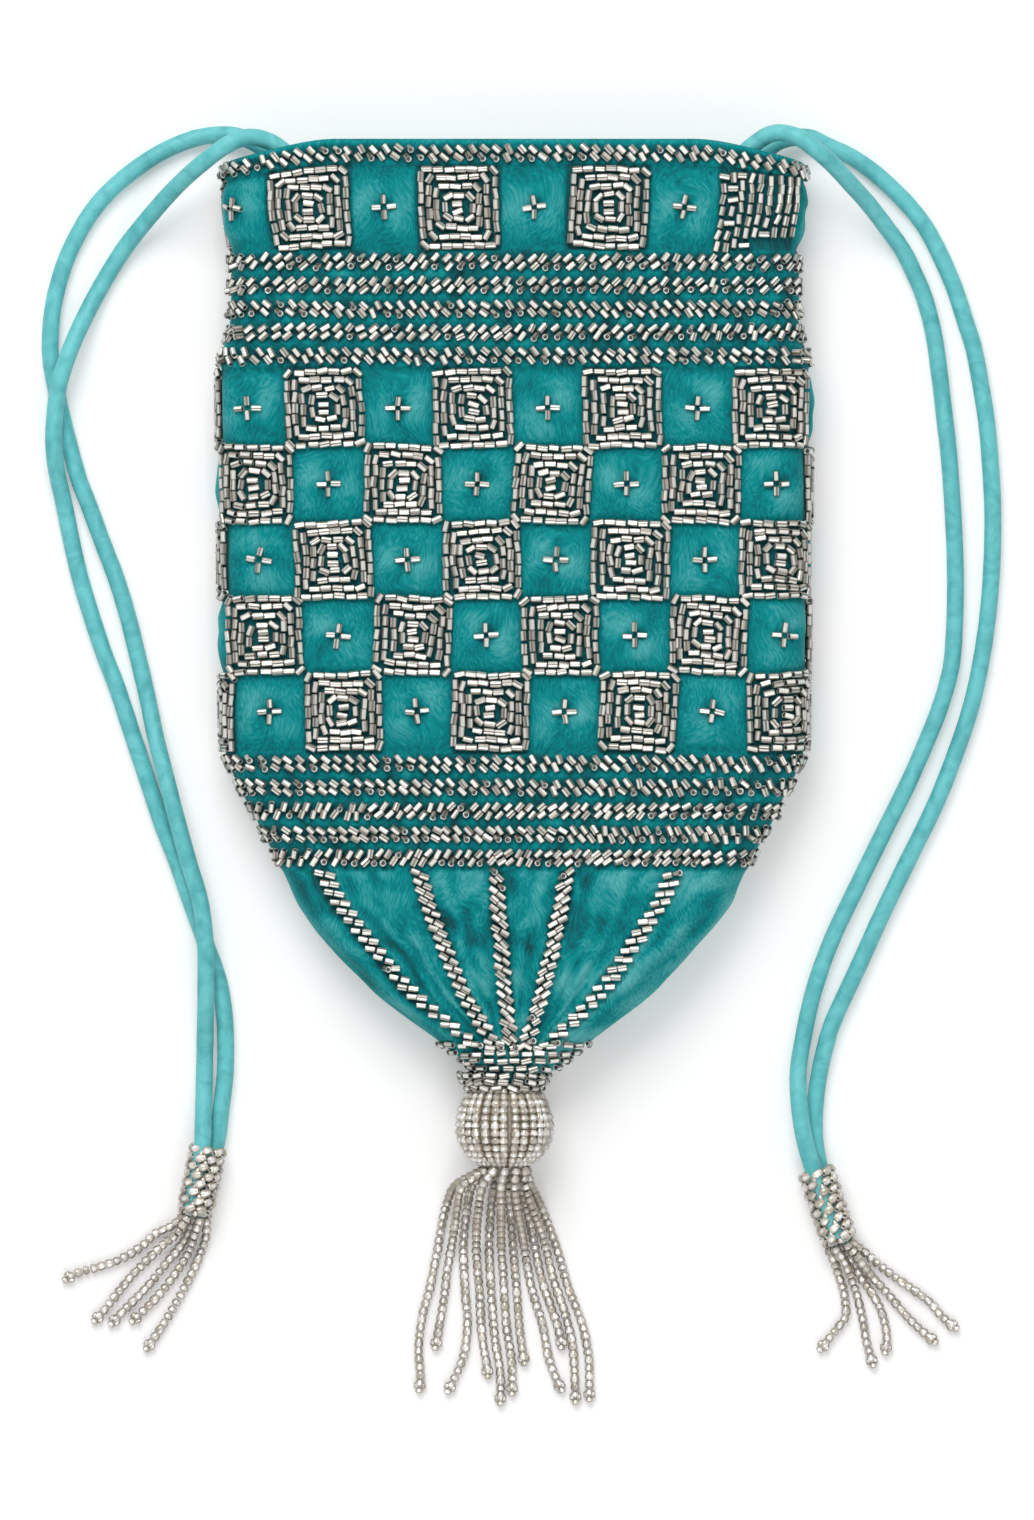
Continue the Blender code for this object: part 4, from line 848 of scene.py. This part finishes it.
lining_bump = lining_nodes.nodes.new("ShaderNodeBump")
lining_bump.inputs["Strength"].default_value = 0.3
lining_bump.inputs["Distance"].default_value = 0.2 * MM
lining_nodes.links.new(lining_coords.outputs["Object"], lining_weave.inputs["Vector"])
lining_nodes.links.new(lining_weave.outputs["Fac"], lining_tones.inputs["Fac"])
lining_nodes.links.new(lining_tones.outputs["Color"], lining_shader.inputs["Base Color"])
lining_nodes.links.new(lining_weave.outputs["Fac"], lining_bump.inputs["Height"])
lining_nodes.links.new(lining_bump.outputs["Normal"], lining_shader.inputs["Normal"])
lining.data.materials.append(lining_finish)
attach(lining, "root")
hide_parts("lining")

# One bugle bead
# A short straight glass tube, 2.3 mm long and 1.3 mm across, with a silver lining: the copies are sewn
# flat to the velvet, each a little askew.
bugle_shape = bead_shape(10, 0.69 * MM, 1.12 * MM, 0.24 * MM, 1.0, 0.17 * MM)
bugle_finish = glass_finish("silver_lined_bugle_glass", 0.3, 0.22)
# Bugle colours: painted highlight, painted shade at the sides and painted shade in the hole; then each facet's share
# of painted reflection from the lining; then where the painted highlight starts and how fast it grows.
bugle_painted_light_colours = ((0.99, 0.975, 0.915), (0.056, 0.046, 0.036), (0.035, 0.035, 0.03))
bugle_painted_reflection_bands = (1.0, 0.95, 0.2, 0.55, 1.0, 1.0, 0.18, 0.55, 0.95, 0.25)
bugle_sparkle = (-0.1, 0.8)


def sewn_bead(across, drop, angle, height=0.9 * MM, long=1.0, wide=1.0, tilt=0.0, tone_and_painted_light=1.0):
    """The place of one bead on the cloth: its angle is counted from straight across, up to the left rim."""
    step = 0.4 * MM
    centre = on_bag(across, drop, height)
    right = (on_bag(across + step, drop, height) - on_bag(across - step, drop, height)).normalized()
    rimward = (on_bag(across, drop - step, height) - on_bag(across, drop + step, height)).normalized()
    up = right.cross(rimward).normalized()
    angle += bead_chance.gauss(0.0, 0.07)
    axis = right * math.cos(angle) + rimward * math.sin(angle)
    axis = axis * math.cos(tilt) + up * math.sin(tilt)
    # Beads that stand upright get painted shade: their tone is made up to a third darker, as the lamps at the mouth
    # and the tassel light them less than beads that lie across.
    upright = abs(math.sin(angle)) ** 2
    tone_and_painted_light *= bead_chance.uniform(0.8, 1.08) * (1.0 - 0.32 * upright)
    long *= bead_chance.uniform(0.9, 1.06)
    jog = right * bead_chance.gauss(0.0, 0.09 * MM) + rimward * bead_chance.gauss(0.0, 0.09 * MM)
    return centre + jog, axis, up, long, wide * bead_chance.uniform(0.92, 1.02), tone_and_painted_light


def bugle_piece(name, places, *nodes):
    piece = bead_string(name, bugle_shape, places, bugle_painted_light_colours, bugle_painted_reflection_bands, bugle_sparkle)
    piece.data.materials.append(bugle_finish)
    if nodes:
        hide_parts(*nodes)
    return piece


def beaded_square(across, drop, size, low=-1.0, high=1.0):
    """A check of bugles sewn in four rings, squarer outside and rounder inside, round two in the middle."""
    pitch = size / 10
    places = []
    lean = bead_chance.gauss(0.0, 0.03)
    for ring, squareness in enumerate((20.0, 13.0, 8.0, 4.4)):
        half = size / 2 - pitch * (ring + 0.5)
        line = []
        for i in range(97):
            turn = 2 * math.pi * (i / 96 + 0.125)
            x = half * math.copysign(abs(math.cos(turn)) ** (2 / squareness), math.cos(turn))
            y = half * math.copysign(abs(math.sin(turn)) ** (2 / squareness), math.sin(turn))
            bow = noise.noise_vector(Vector((across + x, drop - y, 0.0)) * 130) * (0.45 + 0.12 * ring) * MM
            line.append(Vector((x + bow.x + lean * y, y + bow.y - lean * x, 0.0)))
        girth = route_length(line)
        count = round(girth / (2.55 * MM))
        for spot, along in even_points(line, girth / count * 1.0001)[:count]:
            places.append((spot.x, spot.y, math.atan2(along.y, along.x)))
    for side in (-1, 1):
        places.append((bead_chance.gauss(0.0, 0.2) * MM, side * 0.84 * MM, bead_chance.gauss(0.0, 0.15)))
    return [sewn_bead(across + x, drop - y, angle, long=1.04, wide=1.1)
            for x, y, angle in places if low < across + x < high]


def worn_square(across, drop, size):
    """The check at the right of the mouth: its bugles stand in nine uneven upright rows, some askew."""
    places = []
    for column in range(9):
        x = across + (column + 0.5) / 9 * size - size / 2
        start = bead_chance.uniform(0.0, 0.5)
        for i in range(7 if column < 4 else 6):
            y = drop - size / 2 + (i + 0.5 + start) * 2.62 * MM
            flat = bead_chance.random() < (0.22 if i in (0, 6) or column < 2 else 0.05)
            angle = 0.1 if flat else math.pi / 2 - 0.09 + bead_chance.gauss(0.0, 0.09)
            places.append(sewn_bead(x - (i - 3) * 0.14 * MM, y, angle, tone_and_painted_light=1.12))
    return places


# Checkerboard
# Beaded squares that meet at their corners all round the bag, apart at the seam down its back.
front_reach = flat_half + math.pi * half_bag_thickness - 1.5 * MM
square_limits = {
    "bead_checks_front": (range(-4, 6), -front_reach, front_reach),
    "bead_checks_back_right": (range(6, 9), front_reach, half_girth),
    "bead_checks_back_left": (range(-7, -4), -half_girth, -front_reach),
}
for name, (columns, low, high) in square_limits.items():
    for row in range(5):
        places = []
        for column in columns:
            if (row + column) % 2 == 0:
                across, drop = check_centre(row, column)
                places += beaded_square(across, drop, check_size, low, high)
        bugle_piece(f"{name}_bugles_{row + 1}", places, name)

# Spaced checks under the rim
# Eight beaded squares round the mouth, a little larger than those of the checkerboard.
counts = {"front": 0, "back": 0}
for across in top_check_places:
    face = "front" if abs(across) <= flat_half else "back"
    counts[face] += 1
    name = f"top_check_{face}_{counts[face]}"
    if name == "top_check_front_4":
        places = worn_square(across, top_check_drop, top_check_size)
    else:
        places = beaded_square(across, top_check_drop, top_check_size)
    bugle_piece(name + "_bugles", places, name)

# Crosses
# Four bugles in a plus at the middle of each plain square of the front, sewn through the puffed velvet.
places = []
cross_spots = [(across + 16.85 * MM, top_check_drop) for across in top_check_places]
cross_spots += [check_centre(row, column) for row in range(5) for column in range(-6, 7) if (row + column) % 2]
for across, drop in cross_spots:
    if abs(across) >= flat_half + half_bag_thickness:
        continue
    turn = bead_chance.gauss(0.0, 0.09)
    for quarter in range(4):
        angle = turn + quarter * math.pi / 2
        x = across + 1.66 * MM * math.cos(angle)
        y = drop - 1.66 * MM * math.sin(angle)
        places.append(sewn_bead(x, y, angle, height=puff(x, y) + 0.55 * MM, long=0.95, wide=0.95, tone_and_painted_light=1.12))
bugle_piece("cross_bugles", places)


# Rows
# Bugles in slanted, staggered pairs, one row under the rim and five above and below the checkerboard.
def slanted_row(name, drop, slant):
    places = []
    pitch = 2.75 * MM
    count = int(2 * front_reach / pitch)
    for i in range(count):
        middle = -front_reach + (i + 0.5) * 2 * front_reach / count
        angle = slant * math.radians(bead_chance.gauss(48, 7))
        wobble = 0.3 * MM * noise.noise(Vector((middle * 90, drop * 900, 0.0)))
        for half in (-1, 1):
            x = middle + (slant * half * 0.32 + bead_chance.gauss(0.0, 0.12)) * MM
            y = drop + half * 0.86 * MM + wobble
            on_end = bead_chance.random() < (0.28 if half > 0 else 0.08)
            if abs(middle) > flat_half + 12 * MM:
                on_end = False
            tilt = (bead_chance.uniform(0.9, 1.3) if on_end else bead_chance.gauss(0.0, 0.12)) * -slant
            places.append(sewn_bead(x, y, angle, long=0.95, wide=1.06, tilt=tilt, tone_and_painted_light=1.2))
    bugle_piece(name + "_bugles", places, name)


slanted_row("rim_row", rim_row, -1)
for band, rows, slants in (("upper", upper_rows, (1, 1, -1, 1, -1)), ("lower", lower_rows, (-1, -1, 1, -1, 1))):
    for i, (drop, slant) in enumerate(zip(rows, slants)):
        slanted_row(f"{band}_row_{i + 1}", drop, slant)

# Ribs and tip
# Five ribs of paired bugles run down the gathered foot of the bag to seven rounds of bugles, which close
# its tip and hold the top of the ball.
places = []
to_start = flat_half / on_bag(flat_half, rib_top, 0.0).x
for start, lean in zip(rib_starts, (-0.2, -0.5, -0.68, 0.62, 0.2)):
    count = round((rib_foot - rib_top) / (2.02 * MM))
    for i in range(count):
        share = (i + 0.5) / count
        drop = rib_top + (rib_foot - rib_top) * share
        to_cloth = flat_half / on_bag(flat_half, drop, 0.0).x
        angle = lean + bead_chance.gauss(0.0, 0.1)
        for half in (-1, 1):
            apart = half * 1.06 * MM
            x = start * to_start + apart * math.cos(angle) * to_cloth
            if abs(x) > flat_half:
                x = math.copysign(flat_half + (abs(x) - flat_half) / to_cloth, x)
            on_end = bead_chance.random() < 0.07 or (share > 0.96 and half > 0)
            places.append(sewn_bead(x, drop - apart * math.sin(angle), angle, long=0.95, wide=1.05,
                                    height=max(puff(x, drop), 0.0) + 0.8 * MM,
                                    tilt=1.1 if on_end else 0.0, tone_and_painted_light=1.15))
for i in range(4):
    drop = (198.8 + 1.65 * i) * MM
    half_width = float(np.interp(drop, fine_drops, fine_widths))
    half_depth = float(np.interp(drop, fine_drops, fine_depths))
    girth = 4 * (half_width - half_depth) + 2 * math.pi * half_depth
    count = max(6, int(girth / (2.75 * MM)))
    for j in range(count):
        along = (j + 0.5 * (i % 2)) / count * girth - girth / 2
        quarter = 2 * (half_width - half_depth) / 2
        reach = abs(along)
        if reach < quarter:
            across = reach * flat_half / max(quarter, 1e-6)
        elif reach < quarter + math.pi * half_depth:
            across = flat_half + (reach - quarter) / half_depth * half_bag_thickness
        else:
            across = half_girth - (girth / 2 - reach) * flat_half / max(quarter, 1e-6)
        jog = bead_chance.gauss(0.0, 0.2) * MM
        places.append(sewn_bead(math.copysign(across, along), drop + jog, bead_chance.gauss(0.0, 0.16),
                                height=0.75 * MM, long=0.98))
for y, wide, tall in ((-65.3, 9.9, 7.5), (-66.7, 9.4, 7.9), (-68.0, 8.4, 7.7)):
    count = int(math.pi * (wide + tall) / 2.7)
    for i in range(count):
        turn = 2 * math.pi * (i + bead_chance.uniform(-0.1, 0.1)) / count
        out = Vector((math.cos(turn), 0.0, math.sin(turn)))
        spot = Vector((ball_centre.x, y * MM, ball_centre.z)) + Vector((out.x * wide, 0.0, out.z * tall)) * MM
        axis = Vector((-out.z, bead_chance.gauss(0.0, 0.25), out.x))
        places.append((spot, axis, out, 1.0, 0.98, bead_chance.uniform(0.8, 1.05)))
bugle_piece("tip_bugles", places, "tip_cap")

# Ball
# A wooden ball, its top fuller and hidden in the rounds of bugles, covered by strands of seed beads that
# run from pole to pole.
bpy.ops.object.select_all(action="DESELECT")
bpy.ops.mesh.primitive_uv_sphere_add(segments=32, ring_count=16, radius=1.0, rotation=(math.pi / 2, 0.0, 0.0))
core = bpy.context.object
core.name = "ball_core"
bpy.ops.object.transform_apply(location=False, rotation=True, scale=False)
for vert in core.data.vertices:
    ring = math.hypot(vert.co.x, vert.co.z)
    upper = vert.co.y > 0.0
    wide = 9.5 * (max(ring, 0.1) ** -0.45 if upper else 1.0)
    vert.co = ball_centre + Vector((vert.co.x * wide, vert.co.y * (9.3 if upper else 8.5), vert.co.z * wide)) * MM
bpy.ops.object.shade_smooth()
core_finish = bpy.data.materials.new("beige_thread")
core_finish.use_nodes = True
core_nodes = core_finish.node_tree
core_shader = core_nodes.nodes["Principled BSDF"]
core_shader.inputs["Roughness"].default_value = 0.6
core_coords = core_nodes.nodes.new("ShaderNodeTexCoord")
core_noise = core_nodes.nodes.new("ShaderNodeTexNoise")
core_noise.inputs["Scale"].default_value = 900.0
core_tones = core_nodes.nodes.new("ShaderNodeValToRGB")
core_tones.color_ramp.elements[0].color = (0.30, 0.26, 0.21, 1.0)
core_tones.color_ramp.elements[1].color = (0.52, 0.46, 0.38, 1.0)
core_nodes.links.new(core_coords.outputs["Object"], core_noise.inputs["Vector"])
core_nodes.links.new(core_noise.outputs["Fac"], core_tones.inputs["Fac"])
core_nodes.links.new(core_tones.outputs["Color"], core_shader.inputs["Base Color"])
core.data.materials.append(core_finish)
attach(core, "root")

places = []
strands = 28
for i in range(strands):
    turn = 2 * math.pi * (i + bead_chance.uniform(-0.12, 0.12)) / strands
    line = []
    for j in range(41):
        lean = math.pi * (0.06 + 0.88 * j / 40)
        upper = lean < math.pi / 2
        ring = math.sin(lean) ** (0.55 if upper else 1.0) * 9.85 * MM
        line.append(ball_centre + Vector((ring * math.cos(turn), math.cos(lean) * (9.7 if upper else 8.9) * MM,
                                          ring * math.sin(turn))))
    for spot, along in even_points(line, 1.62 * MM):
        out = spot - ball_centre
        ring = math.hypot(out.x, out.z) / (9.85 * MM)
        wide = min(1.0, 0.35 + 0.68 * ring)
        places.append((spot, along, out.normalized(), bead_chance.choice((0.9, 1.0, 1.2)), wide,
                       bead_chance.uniform(0.78, 1.08)))
ball = bead_string("ball_beads", seed_shape, places, seed_painted_light_colours, seed_painted_reflection_bands, seed_sparkle)
ball.data.materials.append(seed_finish)
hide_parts("tassel_ball")

# Tassel
# Eleven strands of seed beads fan out from the foot of the ball, each ending in three beads.
tassel_routes = (
    ((455.7, 1185.7), (446.8, 1205), (441.8, 1225), (437.5, 1250), (433.4, 1271), (428.9, 1293),
     (423.6, 1311), (419.5, 1334), (418.2, 1356), (420, 1378), (418, 1400)),
    ((462, 1187), (457, 1210), (453.5, 1234), (450.4, 1253), (447, 1272), (445, 1290),
     (442.5, 1308), (439.6, 1325), (436.5, 1342), (433.4, 1358)),
    ((472, 1187), (467, 1210), (464, 1234), (463.2, 1253), (463.8, 1275), (465.5, 1301),
     (467.3, 1320), (466.4, 1340), (462.9, 1360), (455.5, 1378), (444.5, 1400)),
    ((482, 1187), (478.5, 1210), (476.3, 1232), (476.2, 1253), (477.4, 1272), (479.2, 1292),
     (480.2, 1311), (481, 1329), (483, 1347), (486, 1364), (488, 1382)),
    ((494, 1187), (491, 1210), (489.4, 1232), (489, 1253), (490, 1275), (491.4, 1298),
     (492.6, 1318), (494.4, 1338), (497.5, 1358), (500.4, 1380), (500.2, 1411)),
    ((501, 1187), (501, 1210), (501, 1232), (501.4, 1253), (502.8, 1272), (504, 1292),
     (505, 1311), (506.6, 1330), (509.5, 1350), (512, 1370), (512, 1400)),
    ((509, 1187), (510, 1210), (511.6, 1232), (513.4, 1253), (515, 1272), (516.6, 1292),
     (518, 1311), (519.4, 1330), (522, 1350), (524.6, 1368)),
    ((514.5, 1187), (517.5, 1210), (521.5, 1232), (525, 1253), (528, 1272), (531.5, 1290),
     (537, 1309), (542.3, 1326), (545.6, 1343), (549, 1361), (555, 1378), (562, 1394)),
    ((521, 1187), (526, 1210), (531.5, 1232), (535.8, 1253), (539.5, 1272), (544.4, 1290),
     (551, 1309), (557, 1326), (561, 1343), (562, 1358)),
    ((525.5, 1187), (533, 1210), (541, 1232), (546.8, 1253), (551, 1272), (556.5, 1291),
     (563.5, 1310), (569, 1330), (573, 1350), (574.6, 1372), (576, 1410)),
    ((530.5, 1185), (540, 1205), (549, 1228), (557, 1250), (562.6, 1270), (568.5, 1290),
     (576, 1309), (583, 1328), (587, 1347), (589.6, 1367), (589.6, 1404)),
)
for i, outline in enumerate(tassel_routes):
    lower = i % 2 == 0
    angle = math.pi * (1 + i / 10) if lower else math.pi * (5 - (i - 1) / 2) / 6
    start = ball_centre + Vector((5.0 * MM * math.cos(angle), -9.2 * MM, 5.0 * MM * math.sin(angle)))
    below = [picture_point(x, y, 0.0) for x, y in outline]
    places = strand_places(start, below, (13.0 if lower else 22.0) * MM)
    strand = bead_string(f"tassel_strand_{i + 1}_beads", seed_shape, places, seed_painted_light_colours, seed_painted_reflection_bands, seed_sparkle)
    strand.data.materials.append(seed_finish)
    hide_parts(f"tassel_strand_{i + 1}")
